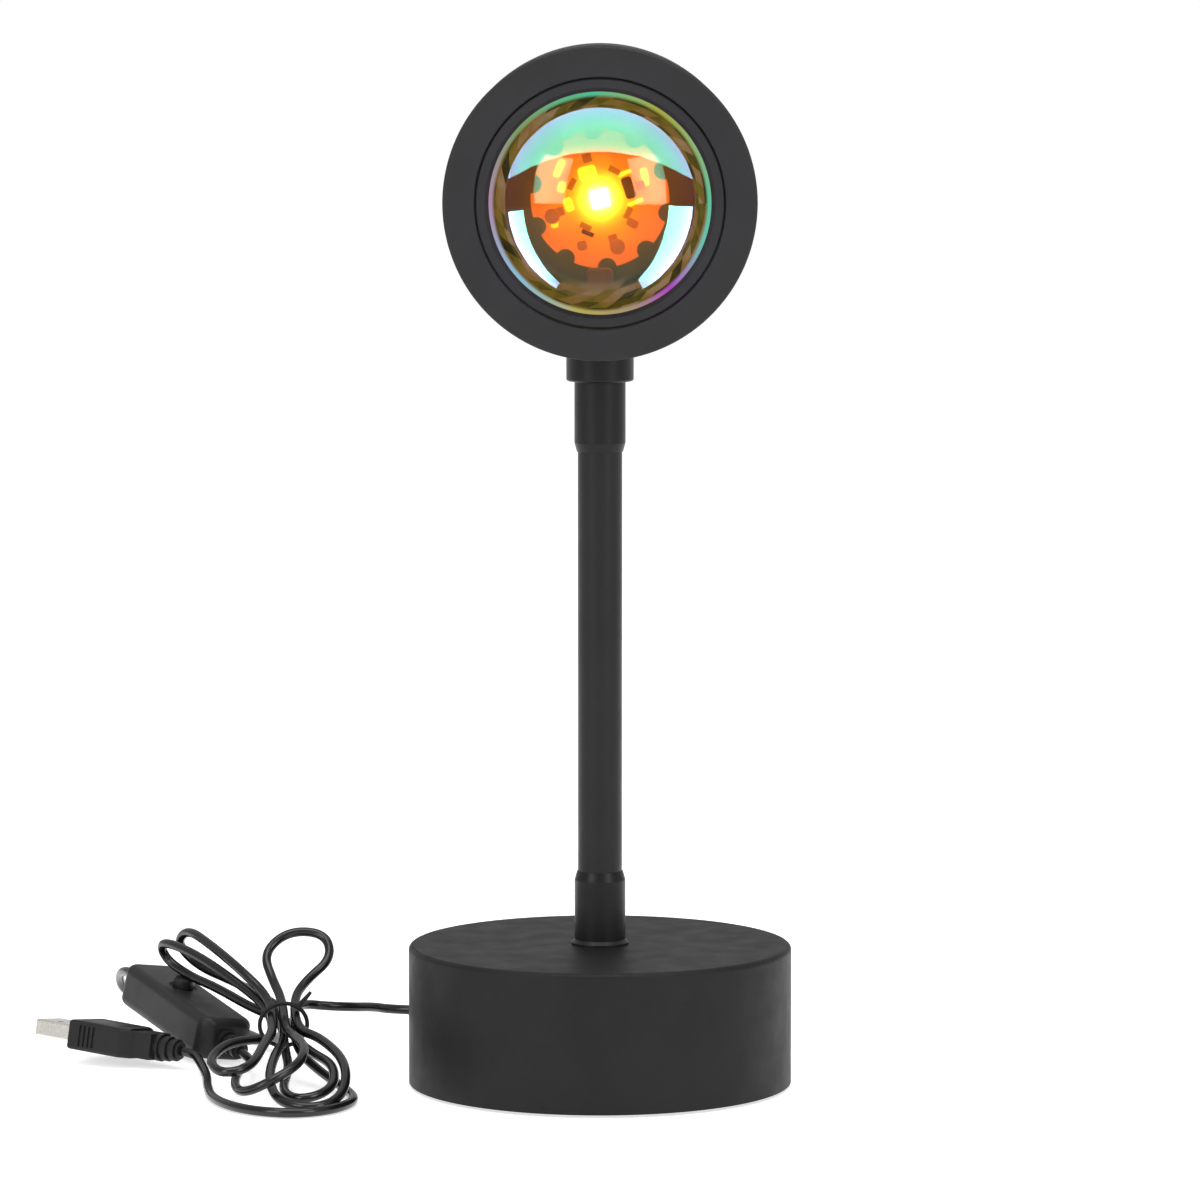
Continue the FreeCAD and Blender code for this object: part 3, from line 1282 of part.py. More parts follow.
# ---- write every node ----
def build():
    """Make and save all the pieces."""
    save("base_shell", base_shell())
    save("base_plate", base_plate())
    save("counterweight", counterweight())
    save("foot_pad", foot_pad())
    save("base_screws", plate_screws(post_places(), SCREW_THREAD))
    weight_places = [polar(weight_screw_circle, angle) for angle in WEIGHT_SCREW_ANGLES]
    save("weight_screws", plate_screws(weight_places, SCREW_THREAD))
    save("cord_grommet", cord_grommet())
    lower = ferrule(FERRULE_HEIGHT, True)
    save("ferrule_lower", placed(lower, Placement(Vector(0, 0, BASE_HEIGHT), Rotation())))
    upside_down = Rotation(Vector(1, 0, 0), 180)
    upper = ferrule(FERRULE_UPPER_HEIGHT, False)
    save("ferrule_upper", placed(upper, Placement(Vector(0, 0, ferrule_top), upside_down)))
    washer_bottom = roof_underside - WASHER_THICKNESS
    save("neck_washer", ring(WASHER_DIAMETER, stud_hole, washer_bottom, roof_underside))
    save("neck_nut_lower", hex_nut(NUT_FLATS, STUD_DIAMETER, washer_bottom - NUT_HEIGHT, washer_bottom))
    save("neck_nut_upper", hex_nut(NUT_FLATS, STUD_DIAMETER, collar_pad_z, collar_pad_z + NUT_HEIGHT))
    save("neck_anchor", neck_anchor())
    for index in range(NECK_HINGES - 1):
        save(f"neck_link_{index + 1}", neck_link(index))
    save("neck_tip", neck_tip())
    save("neck_sleeve", ring(SLEEVE_OUTER, sleeve_inner, sleeve_bottom, sleeve_top))
    save("neck_wires", neck_wires())

    save("head_collar", head_collar())
    in_head = {
        "head_shell": head_shell(),
        "lens_ring": lens_ring(),
        "lens": lens(),
        "lens_gasket": lens_gasket(),
        "light_chamber": light_chamber(),
        "dichroic_filter": dichroic_filter(),
        "led_board": led_board(),
        "led_chip": led_chip(),
        "board_components": board_components(),
        "heatsink": heatsink(),
        "rear_cover": rear_cover(),
        "heatsink_screws": screw_group(
            pan_screw(SCREW_HEAD, HEATSINK_SCREW_HEAD_HEIGHT, SCREW_THREAD, HEATSINK_SCREW_LENGTH),
            HEAD_POST_CIRCLE,
            HEAD_POST_ANGLES,
            plate_back,
            True,
        ),
        "cover_screws": screw_group(
            countersunk_screw(SCREW_HEAD, SCREW_THREAD, COVER_SCREW_LENGTH),
            HEAD_POST_CIRCLE,
            COVER_POST_ANGLES,
            -HEAD_REAR,
            True,
        ),
    }
    for name, shape in in_head.items():
        shapes = shape if isinstance(shape, list) else [shape]
        save(name, [placed(piece, head_placement) for piece in shapes])

    on_switch = {
        "switch_lower": switch_lower(),
        "switch_upper": switch_upper(),
        "switch_button": switch_button(),
        "switch_element": switch_element(),
        "switch_relief_near": switch_relief(NEAR_RELIEF_LENGTH, False),
        "switch_relief_far": switch_relief(FAR_RELIEF_LENGTH, True),
    }
    for name, shape in on_switch.items():
        save(name, placed(shape, switch_placement))

    on_plug = {
        "plug_shell": plug_shell(),
        "plug_tongue": plug_tongue(),
        "plug_contacts": plug_contacts(),
        "plug_body": plug_body(),
        "plug_relief": plug_relief(),
    }
    for name, shape in on_plug.items():
        shapes = shape if isinstance(shape, list) else [shape]
        save(name, [placed(piece, plug_placement) for piece in shapes])

    save("cord_lead", free_cord("lead", LEAD_ROUTE))
    save("cord_hank", cord_hank())
    save("cord_return", free_cord("return", RETURN_ROUTE))
    save("cord_tail", free_cord("tail", TAIL_ROUTE))
    save("cord_tie", cord_tie())


build()
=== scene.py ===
"""Looks of the sunset projection lamp: camera, cord, neck skin, materials, floor and lights."""

import json
import math

import bmesh
import bpy
from mathutils import Matrix, Vector


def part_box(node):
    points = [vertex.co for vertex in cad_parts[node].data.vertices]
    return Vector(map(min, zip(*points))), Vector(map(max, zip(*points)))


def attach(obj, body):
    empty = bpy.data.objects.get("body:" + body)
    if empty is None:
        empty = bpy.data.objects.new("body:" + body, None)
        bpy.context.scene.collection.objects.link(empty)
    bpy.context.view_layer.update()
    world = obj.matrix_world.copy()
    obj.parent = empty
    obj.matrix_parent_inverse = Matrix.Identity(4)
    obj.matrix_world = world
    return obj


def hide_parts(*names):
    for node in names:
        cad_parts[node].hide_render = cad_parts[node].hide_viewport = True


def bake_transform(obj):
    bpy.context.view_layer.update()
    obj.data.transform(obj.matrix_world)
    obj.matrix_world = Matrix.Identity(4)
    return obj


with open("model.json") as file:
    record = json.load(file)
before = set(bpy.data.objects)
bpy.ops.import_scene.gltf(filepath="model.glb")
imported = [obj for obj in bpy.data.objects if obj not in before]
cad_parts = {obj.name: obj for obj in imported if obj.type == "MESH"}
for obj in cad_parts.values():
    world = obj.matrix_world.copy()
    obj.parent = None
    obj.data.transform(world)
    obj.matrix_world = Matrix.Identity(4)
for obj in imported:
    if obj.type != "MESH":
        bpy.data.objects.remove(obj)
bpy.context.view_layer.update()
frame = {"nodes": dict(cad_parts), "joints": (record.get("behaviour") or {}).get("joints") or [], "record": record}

MM = 0.001


def unit(x, y, z):
    return Vector((x, y, z)).normalized()


# ---- camera: level with the top of the lamp, pitched down at its middle ----
CAMERA_PLACE = (0.0, -1.568, 0.286)
CAMERA_PITCH = 5.78
CAMERA_LENS = 181.9
CAMERA_SENSOR = 36.0

camera_data = bpy.data.cameras.new("camera")
camera_data.lens = CAMERA_LENS
camera_data.sensor_width = CAMERA_SENSOR
camera_data.clip_start = 0.01
camera = bpy.data.objects.new("camera", camera_data)
camera.location = CAMERA_PLACE
camera.rotation_euler = (math.radians(90 - CAMERA_PITCH), 0.0, 0.0)
bpy.context.scene.collection.objects.link(camera)
bpy.context.scene.camera = camera
bpy.context.scene.view_settings.view_transform = "Standard"

# ---- cord: one line from the base through the tied hank and the switch to the plug, in mm ----
CORD_DIAMETER = 2.5
TIE_CENTRE = Vector((-83.5, 12.0, 13.5))
TIE_FORWARD = unit(0.10, -0.95, -0.30)
TIE_RIGHT = unit(0.95, 0.10, 0.0)
TIE_UP = TIE_FORWARD.cross(TIE_RIGHT)
STRAND_PITCH = 3.05
STRAIGHT_AT_TIE = 9.0
SWITCH_NEAR_END = Vector((-99.5, 28.5, 6.2))
SWITCH_HEADING = unit(-0.497, 0.848, 0.174)
SWITCH_LENGTH = 50.0
NEAR_RELIEF_LENGTH = 9.0
FAR_RELIEF_LENGTH = 5.0
PLUG_RELIEF_END = Vector((-111.0, 20.0, 5.0))
PLUG_HEADING = unit(-0.87, 0.485, 0.07)
SPLINE_ORDER = 3
SPLINE_STEPS = 10
CORD_SIDES = 8


def slot_point(column, row, along):
    """A strand's place in the tie: its column and row in the bundle, and how far along it."""
    across = TIE_RIGHT * (column * STRAND_PITCH) + TIE_UP * (row * STRAND_PITCH)
    return TIE_CENTRE + across + TIE_FORWARD * along


NEAR_RELIEF_TIP = SWITCH_NEAR_END - SWITCH_HEADING * NEAR_RELIEF_LENGTH
FAR_RELIEF_TIP = SWITCH_NEAR_END + SWITCH_HEADING * (SWITCH_LENGTH + FAR_RELIEF_LENGTH)
GROMMET_MOUTH = Vector((-49.46, 13.25, 17.2))

# From the base to the tie.
LEAD_ROUTE = [
    GROMMET_MOUTH,
    Vector((-55.5, 15.0, 17.1)),
    Vector((-60.0, 21.8, 16.6)),
    Vector((-65.5, 28.4, 15.4)),
    Vector((-73.3, 31.4, 15.2)),
    Vector((-78.8, 28.9, 16.2)),
    slot_point(1, 0, -STRAIGHT_AT_TIE),
]
# Each lobe: side of the tie (1 front, -1 rear), slot out, slot back and the points round it. The points
# are set after the photograph, within what the cord may leave its tube by.
LOBES = [
    (1, (1, 0), (0, -1), [
        (-75.2, -6.0, 9.2),
        (-69.2, -17.0, 8.1),
        (-68.2, -27.0, 5.2),
        (-71.0, -34.5, 3.4),
        (-77.5, -37.0, 2.4),
        (-82.0, -29.0, 3.2),
        (-80.8, -11.0, 6.0),
    ]),
    (-1, (0, -1), (-1, 0), [
        (-92.5, 29.5, 14.8),
        (-103.0, 42.0, 18.4),
        (-111.0, 52.5, 19.8),
        (-118.0, 58.5, 23.6),
        (-119.0, 54.0, 29.5),
        (-109.0, 41.0, 28.0),
        (-97.0, 29.0, 22.2),
    ]),
    (1, (-1, 0), (-1, 1), [
        (-91.5, -3.0, 12.2),
        (-98.0, -9.0, 11.8),
        (-101.5, -18.0, 9.0),
        (-97.5, -26.5, 7.2),
        (-90.0, -24.0, 8.4),
        (-87.3, -8.0, 12.2),
    ]),
    (-1, (-1, 1), (0, 0), [
        (-96.0, 28.0, 25.8),
        (-104.5, 42.0, 30.0),
        (-111.5, 54.0, 32.5),
        (-115.0, 60.5, 27.5),
        (-109.0, 58.5, 21.5),
        (-98.5, 43.5, 19.8),
        (-90.0, 29.0, 18.2),
    ]),
    (1, (0, 0), (1, 1), [
        (-84.6, -12.0, 9.8),
        (-85.5, -28.0, 6.0),
        (-82.0, -41.0, 2.4),
        (-72.5, -45.0, 1.5),
        (-65.5, -37.0, 3.4),
        (-65.3, -22.0, 9.4),
        (-72.7, -5.0, 12.9),
    ]),
    (-1, (1, 1), (0, 1), [
        (-78.0, 27.0, 23.0),
        (-71.5, 32.0, 28.0),
        (-73.5, 37.0, 34.0),
        (-83.5, 37.5, 34.5),
        (-90.0, 34.0, 29.0),
        (-87.0, 27.5, 22.5),
    ]),
    (1, (0, 1), None, [
        (-79.5, -10.0, 14.4),
        (-76.0, -22.0, 13.5),
        (-77.0, -33.0, 11.0),
        (-84.5, -38.5, 7.2),
        (-91.5, -35.5, 3.8),
        (-94.5, -24.0, 3.8),
        (-94.0, -12.0, 5.6),
        (-92.0, 0.0, 4.6),
        (-91.5, 12.0, 3.2),
    ]),
]
# From the far end of the switch round behind it and back to the tie.
RETURN_ROUTE = [
    FAR_RELIEF_TIP + SWITCH_HEADING * 6,
    Vector((-133.0, 90.0, 14.5)),
    Vector((-133.0, 99.0, 8.5)),
    Vector((-125.5, 104.5, 3.2)),
    Vector((-115.0, 101.0, 1.6)),
    Vector((-105.5, 88.0, 1.5)),
    Vector((-98.0, 71.0, 1.5)),
    Vector((-91.0, 54.0, 1.8)),
    Vector((-86.6, 42.0, 4.2)),
    Vector((-83.8, 32.4, 9.4)),
    slot_point(1, -1, -STRAIGHT_AT_TIE),
]
# Through the tie, round the front of the hank and out to the plug.
TAIL_ROUTE = [
    slot_point(1, -1, STRAIGHT_AT_TIE),
    Vector((-72.8, -4.5, 3.6)),
    Vector((-65.4, -18.5, 1.6)),
    Vector((-62.4, -32.5, 1.5)),
    Vector((-68.0, -46.0, 1.5)),
    Vector((-79.0, -51.5, 1.5)),
    Vector((-91.5, -45.0, 1.5)),
    Vector((-99.5, -31.0, 1.5)),
    Vector((-102.0, -14.0, 1.5)),
    Vector((-103.0, 1.0, 1.7)),
    Vector((-105.5, 12.0, 3.4)),
    PLUG_RELIEF_END - PLUG_HEADING * 4,
    PLUG_RELIEF_END,
]


def hank_route():
    """The hank's control points: out of the tie by one slot, round a lobe and back by the next slot."""
    route = []
    for side, leaving, returning, around in LOBES:
        route.append(slot_point(*leaving, side * STRAIGHT_AT_TIE))
        route += [Vector(point) for point in around]
        if returning:
            route.append(slot_point(*returning, side * STRAIGHT_AT_TIE))
    return route


def bevelled_curve(name, route, diameter):
    """A smooth round cord whose spline has the route's points, in mm, as its control points."""
    data = bpy.data.curves.new(name, "CURVE")
    data.dimensions = "3D"
    data.resolution_u = SPLINE_STEPS
    data.bevel_depth = diameter / 2 * MM
    data.bevel_resolution = CORD_SIDES
    data.use_fill_caps = True
    spline = data.splines.new("NURBS")
    spline.points.add(len(route) - 1)
    for point, place in zip(spline.points, route):
        point.co = (*(place * MM), 1.0)
    spline.order_u = SPLINE_ORDER
    spline.use_endpoint_u = True
    obj = bpy.data.objects.new(name, data)
    bpy.context.scene.collection.objects.link(obj)
    return obj


switch_route = [
    NEAR_RELIEF_TIP,
    SWITCH_NEAR_END,
    SWITCH_NEAR_END + SWITCH_HEADING * SWITCH_LENGTH / 2,
    FAR_RELIEF_TIP,
]
cord_route = LEAD_ROUTE + hank_route() + switch_route + RETURN_ROUTE + TAIL_ROUTE
power_cord = bevelled_curve("power_cord", cord_route, CORD_DIAMETER)


# ---- node materials ----
class Paint:
    """A material under construction: its node tree and Principled shader."""

    def __init__(self, name):
        self.material = bpy.data.materials.new(name)
        self.material.use_nodes = True
        self.tree = self.material.node_tree
        self.shader = self.tree.nodes["Principled BSDF"]
        self.place = self.add("ShaderNodeTexCoord").outputs["Object"]

    def add(self, kind, **values):
        node = self.tree.nodes.new(kind)
        for key, value in values.items():
            setattr(node, key, value)
        return node

    def link(self, source, target):
        self.tree.links.new(source, target)

    def put(self, **values):
        """Set the shader's own sockets; a keyword's underscores stand for spaces."""
        for key, value in values.items():
            self.shader.inputs[key.replace("_", " ")].default_value = value

    def noise(self, scale, detail=3.0, roughness=0.55, stretch=None):
        """Noise of features about 1/scale metres across, stretched along an axis if asked."""
        node = self.add("ShaderNodeTexNoise")
        node.inputs["Scale"].default_value = scale
        node.inputs["Detail"].default_value = detail
        node.inputs["Roughness"].default_value = roughness
        source = self.place
        if stretch:
            mapping = self.add("ShaderNodeMapping")
            mapping.inputs["Scale"].default_value = stretch
            self.link(self.place, mapping.inputs["Vector"])
            source = mapping.outputs["Vector"]
        self.link(source, node.inputs["Vector"])
        return node.outputs["Fac"]

    def ramp(self, source, stops):
        """Colours or greys at given places of a value."""
        node = self.add("ShaderNodeValToRGB")
        elements = node.color_ramp.elements
        while len(elements) < len(stops):
            elements.new(0.5)
        for element, (place, value) in zip(elements, stops):
            element.position = place
            element.color = (value, value, value, 1) if isinstance(value, float) else (*value, 1)
        self.link(source, node.inputs["Fac"])
        return node.outputs["Color"]

    def maths(self, operation, first, second=0.0):
        """One arithmetic step on two values, each a number or another node's result."""
        node = self.add("ShaderNodeMath", operation=operation)
        for socket, value in zip(node.inputs, (first, second)):
            if isinstance(value, float):
                socket.default_value = value
            else:
                self.link(value, socket)
        return node.outputs[0]

    def colour(self, source, stops):
        """Base colour from stops of a value."""
        self.link(self.ramp(source, stops), self.shader.inputs["Base Color"])

    def roughness(self, source, low, high):
        """Roughness between two levels by a value."""
        self.link(self.ramp(source, [(0.3, low), (0.7, high)]), self.shader.inputs["Roughness"])

    def bump(self, source, height):
        """Relief of a height in metres."""
        node = self.add("ShaderNodeBump")
        node.inputs["Strength"].default_value = 1.0
        node.inputs["Distance"].default_value = height
        self.link(source, node.inputs["Height"])
        self.link(node.outputs["Normal"], self.shader.inputs["Normal"])


BLACK = (0.0060, 0.0060, 0.0066)
BLACK_PALE = (0.0085, 0.0085, 0.0092)
TOOL_MARK_HEIGHT = 0.000006


def coated(name, dark, pale, rough, grain, height, gloss=0.25, **values):
    """A coated or moulded surface: two close tones, uneven roughness and a fine grain."""
    paint = Paint(name)
    broad = paint.noise(55.0, 4.0)
    fine = paint.noise(grain, 2.0)
    paint.colour(broad, [(0.3, dark), (0.7, pale)])
    paint.roughness(paint.noise(130.0, 3.0), *rough)
    paint.bump(fine, height)
    paint.put(Specular_IOR_Level=gloss, **values)
    return paint.material


def metal(name, dark, pale, rough, stretch=None):
    """Bare metal with tool marks, stretched along one direction if asked."""
    paint = Paint(name)
    marks = paint.noise(900.0, 3.0, 0.6, stretch)
    paint.colour(paint.noise(120.0, 3.0), [(0.25, dark), (0.75, pale)])
    paint.roughness(marks, *rough)
    paint.bump(marks, TOOL_MARK_HEIGHT)
    paint.put(Metallic=1.0)
    return paint.material


looks = {
    "black_paint": coated("base_powder_coat", BLACK, BLACK_PALE, (0.46, 0.56), 2200.0, 0.00003),
    "shell_aluminium": coated(
        "head_powder_coat", (0.020, 0.020, 0.0212), (0.025, 0.025, 0.0263), (0.50, 0.60), 2600.0, 0.00002
    ),
    "black_metal": coated("ferrule_satin_black", BLACK, BLACK_PALE, (0.30, 0.40), 3200.0, 0.000012),
    "sleeve": coated(
        "neck_sleeve_black", (0.010, 0.010, 0.011), (0.014, 0.014, 0.015), (0.34, 0.44), 3000.0, 0.000012
    ),
    "black_rubber": coated(
        "rubber_black", (0.011, 0.011, 0.012), (0.017, 0.017, 0.018), (0.5, 0.65), 2400.0, 0.00002
    ),
    "foam_pad": coated(
        "foam_black", (0.012, 0.012, 0.012), (0.022, 0.022, 0.022), (0.85, 0.95), 1500.0, 0.0002
    ),
    "cord_pvc": coated(
        "cord_vinyl", (0.0045, 0.0045, 0.005), (0.007, 0.007, 0.0075), (0.16, 0.24), 1800.0, 0.000006, 0.5
    ),
    "switch_plastic": coated(
        "switch_plastic", (0.016, 0.016, 0.017), (0.021, 0.021, 0.022), (0.36, 0.46), 2800.0, 0.00002
    ),
    "button_plastic": coated(
        "button_plastic", (0.014, 0.014, 0.015), (0.018, 0.018, 0.019), (0.28, 0.36), 2800.0, 0.00001
    ),
    "plug_rubber": coated(
        "plug_overmould", (0.013, 0.013, 0.014), (0.018, 0.018, 0.019), (0.34, 0.46), 2200.0, 0.00002
    ),
    "cast_iron": coated(
        "cast_iron", (0.08, 0.08, 0.082), (0.13, 0.13, 0.13), (0.6, 0.75), 1200.0, 0.0002, Metallic=0.8
    ),
    "chamber_plastic": coated(
        "chamber_plastic", (0.028, 0.022, 0.016), (0.045, 0.036, 0.026), (0.35, 0.5), 900.0, 0.00003
    ),
    "plug_white": coated(
        "plug_tongue_plastic", (0.72, 0.72, 0.70), (0.80, 0.80, 0.78), (0.35, 0.45), 2600.0, 0.00001
    ),
    "copper_wire": coated(
        "wire_insulation", (0.45, 0.03, 0.03), (0.55, 0.05, 0.04), (0.3, 0.4), 2600.0, 0.00001
    ),
    "zinc_steel": metal("zinc_plated_steel", (0.55, 0.55, 0.53), (0.66, 0.66, 0.64), (0.28, 0.4)),
    "link_steel": metal(
        "turned_steel", (0.42, 0.42, 0.42), (0.55, 0.55, 0.54), (0.25, 0.38), (1, 1, 14)
    ),
    "bare_aluminium": metal(
        "extruded_aluminium", (0.26, 0.26, 0.27), (0.36, 0.36, 0.37), (0.34, 0.48), (1, 1, 12)
    ),
    "plug_steel": metal(
        "nickel_plated_steel", (0.72, 0.69, 0.64), (0.80, 0.775, 0.72), (0.20, 0.30), (6, 1, 1)
    ),
    "gilt": metal("gilt_contact", (0.78, 0.56, 0.22), (0.85, 0.65, 0.30), (0.2, 0.3)),
}


# The lens's axis and the zones of its look, in metres from that axis: a clear middle, and a rim and a low veil
# whose colours are painted reflection, glowing by emission.
LENS_MIDDLE = (0.0, 0.0, 0.2312)
CLEAR_RADIUS = 0.0243
RIM_RADIUS = 0.0283
EDGE_BAND = (0.0016, 0.0006)
PAINTED_VEIL_REACH = (0.0190, 0.0228)
# The painted reflection's facets round the rim: how many round it, how much they slant, and how many to a metre of
# radius.
RIM_BLOCKS = 38.0
RIM_SLANT = 420.0
RIM_ROWS = 640.0


def lens_axes(paint):
    """Sockets for a point's height over the lens's axis, its distance from it and its turn (0 to 1)."""
    shift = paint.add("ShaderNodeVectorMath", operation="SUBTRACT")
    shift.inputs[1].default_value = LENS_MIDDLE
    paint.link(paint.place, shift.inputs[0])
    axes = paint.add("ShaderNodeSeparateXYZ")
    paint.link(shift.outputs[0], axes.inputs[0])
    across = axes.outputs["X"]
    up = axes.outputs["Z"]
    across_squared = paint.maths("MULTIPLY", across, across)
    squares = paint.maths("ADD", across_squared, paint.maths("MULTIPLY", up, up))
    turn = paint.maths("DIVIDE", paint.maths("ARCTAN2", up, across), 2 * math.pi)
    return up, paint.maths("SQRT", squares), paint.maths("FRACT", paint.maths("ADD", turn, 1.0))


def smooth_step(paint, source, low, high):
    """0 below low, 1 above high, and smooth between."""
    node = paint.add("ShaderNodeMapRange", interpolation_type="SMOOTHSTEP")
    node.inputs["From Min"].default_value = low
    node.inputs["From Max"].default_value = high
    paint.link(source, node.inputs["Value"])
    return node.outputs[0]


def mix_shaders(paint, share, first, second):
    """The first shader, with a share of the second."""
    node = paint.add("ShaderNodeMixShader")
    if isinstance(share, float):
        node.inputs["Fac"].default_value = share
    else:
        paint.link(share, node.inputs["Fac"])
    paint.link(first, node.inputs[1])
    paint.link(second, node.inputs[2])
    return node.outputs[0]


def mix_colours(paint, share, first, second):
    """The first colour, with a share of the second."""
    node = paint.add("ShaderNodeMix", data_type="RGBA")
    paint.link(share, node.inputs["Factor"])
    paint.link(first, node.inputs["A"])
    paint.link(second, node.inputs["B"])
    return node.outputs["Result"]


FILM_COLOURS = [
    (0.0, (1.0, 0.66, 0.46)),
    (0.05, (1.0, 0.70, 0.50)),
    (0.08, (0.22, 1.0, 0.56)),
    (0.15, (0.15, 0.95, 0.62)),
    (0.21, (0.22, 0.86, 0.90)),
    (0.26, (0.42, 0.66, 1.0)),
    (0.6, (0.8, 0.5, 1.0)),
]
FILM_SHARE = [(0.0, 0.008), (0.05, 0.032), (0.26, 0.034), (0.4, 0.12), (1.0, 0.9)]
# Painted reflection: the tones of the rim's facets.
PAINTED_FACET_COLOURS = [
    (0.25, (0.010, 0.006, 0.001)),
    (0.42, (0.050, 0.034, 0.002)),
    (0.55, (0.105, 0.070, 0.006)),
    (0.68, (0.150, 0.075, 0.020)),
    (0.80, (0.190, 0.115, 0.060)),
    (0.92, (0.060, 0.110, 0.030)),
]
# Painted reflection: the colours of the thin band at the rim's edge, by the turn round it.
PAINTED_EDGE_COLOURS = [
    (0.0, (0.10, 0.42, 0.26)),
    (0.16, (0.30, 0.30, 0.04)),
    (0.26, (0.06, 0.40, 0.22)),
    (0.38, (0.16, 0.26, 0.10)),
    (0.50, (0.34, 0.20, 0.30)),
    (0.62, (0.20, 0.40, 0.52)),
    (0.72, (0.36, 0.32, 0.08)),
    (0.80, (0.30, 0.22, 0.14)),
    (0.86, (0.34, 0.05, 0.42)),
    (0.94, (0.12, 0.42, 0.34)),
    (1.0, (0.10, 0.42, 0.26)),
]


def clear_glass(paint):
    """The shader of the lens's middle: see-through, with a gloss whose tint turns with the angle."""
    facing = paint.add("ShaderNodeLayerWeight")
    facing.inputs["Blend"].default_value = 0.5
    clear = paint.add("ShaderNodeBsdfTransparent")
    clear.inputs["Color"].default_value = (1.0, 0.98, 0.93, 1.0)
    gloss = paint.add("ShaderNodeBsdfGlossy")
    gloss.inputs["Roughness"].default_value = 0.0
    paint.link(paint.ramp(facing.outputs["Facing"], FILM_COLOURS), gloss.inputs["Color"])
    share = paint.ramp(facing.outputs["Facing"], FILM_SHARE)
    return mix_shaders(paint, share, clear.outputs[0], gloss.outputs[0])


def painted_rim_facets(paint, radius, turn):
    """Painted reflection, glowing by emission: gold and green facets round the rim, each with a tone of its own.
    """
    around = paint.maths("MULTIPLY", turn, RIM_BLOCKS)
    slanted = paint.maths("ADD", around, paint.maths("MULTIPLY", radius, RIM_SLANT))
    cell = paint.add("ShaderNodeCombineXYZ")
    paint.link(paint.maths("FLOOR", slanted), cell.inputs["X"])
    paint.link(paint.maths("FLOOR", paint.maths("MULTIPLY", radius, RIM_ROWS)), cell.inputs["Y"])
    blocks = paint.add("ShaderNodeTexWhiteNoise", noise_dimensions="3D")
    paint.link(cell.outputs[0], blocks.inputs["Vector"])
    sharp = paint.maths("MULTIPLY", blocks.outputs["Value"], 0.5)
    soft = paint.maths("MULTIPLY", paint.noise(120.0), 0.6)
    return paint.ramp(paint.maths("ADD", sharp, soft), PAINTED_FACET_COLOURS)


def glass_look():
    """Coated glass: clear in the middle, with a painted reflection of gold-green facets round the rim, glowing by
    emission, and a painted veil of it low down.
    """
    paint = Paint("lens_glass")
    up, radius, turn = lens_axes(paint)
    middle = clear_glass(paint)

    # Painted reflection: the rim's facets and edge band are emitted colour, not light from the lamps.
    band = smooth_step(paint, radius, RIM_RADIUS - EDGE_BAND[0], RIM_RADIUS - EDGE_BAND[1])
    facets = painted_rim_facets(paint, radius, turn)
    colour = mix_colours(paint, band, facets, paint.ramp(turn, PAINTED_EDGE_COLOURS))
    rim = paint.shader.outputs[0]
    paint.link(colour, paint.shader.inputs["Emission Color"])
    paint.put(Base_Color=(0.002, 0.002, 0.001, 1.0), Roughness=0.08)
    paint.put(Emission_Strength=1.25, Specular_IOR_Level=0.0)

    # Painted reflection low down: the glowing rim laid as a veil over the lower part of the clear middle, near the
    # rim.
    down = paint.maths("MULTIPLY", up, -1.0)
    lower = paint.maths("DIVIDE", down, paint.maths("MAXIMUM", radius, 0.001))
    low_side = smooth_step(paint, lower, 0.62, 0.95)
    near_rim = smooth_step(paint, radius, *PAINTED_VEIL_REACH)
    veil = paint.maths("MULTIPLY", paint.maths("MULTIPLY", low_side, near_rim), 0.75)
    veiled = mix_shaders(paint, veil, middle, rim)
    outside = smooth_step(paint, radius, CLEAR_RADIUS - 0.0001, CLEAR_RADIUS + 0.0001)
    surface = paint.tree.nodes["Material Output"].inputs["Surface"]
    paint.link(mix_shaders(paint, outside, veiled, rim), surface)
    return paint.material


def filter_look():
    """Coated glass that lets orange through, at each of its two faces, and throws blue-green back."""
    paint = Paint("dichroic_glass")
    tint = paint.ramp(paint.noise(20.0), [(0.3, (1.0, 0.64, 0.16)), (0.7, (1.0, 0.69, 0.20))])
    clear = paint.add("ShaderNodeBsdfTransparent")
    paint.link(tint, clear.inputs["Color"])
    gloss = paint.add("ShaderNodeBsdfGlossy")
    gloss.inputs["Color"].default_value = (0.35, 0.95, 0.80, 1)
    gloss.inputs["Roughness"].default_value = 0.02
    surface = paint.tree.nodes["Material Output"].inputs["Surface"]
    paint.link(mix_shaders(paint, 0.012, clear.outputs[0], gloss.outputs[0]), surface)
    return paint.material


# Painted light: colours and strength of the glow painted by emission where the light source would flood the board,
# by the distance from it in units of 20 mm.
PAINTED_GLOW_UNIT = 50.0
BOARD_PAINTED_GLOW = [
    (0.18, (1.0, 0.92, 0.70)),
    (0.34, (1.0, 0.78, 0.10)),
    (0.50, (1.0, 0.42, 0.02)),
    (0.85, (1.0, 0.26, 0.0)),
]
PAD_PAINTED_GLOW = [(0.2, (1.0, 0.95, 0.70)), (0.5, (1.0, 0.90, 0.25)), (0.9, (1.0, 0.70, 0.12))]
PAINTED_GLOW_STRENGTH = [(0.15, 1.0), (0.22, 0.34), (0.40, 0.18), (1.0, 0.13)]
# Painted shade: the heights, in metres over the lens's axis, between which the painted glow on the top of the
# board is dimmed, as if the top fell into shade.
PAINTED_TOP_SHADE = (0.010, 0.0145)


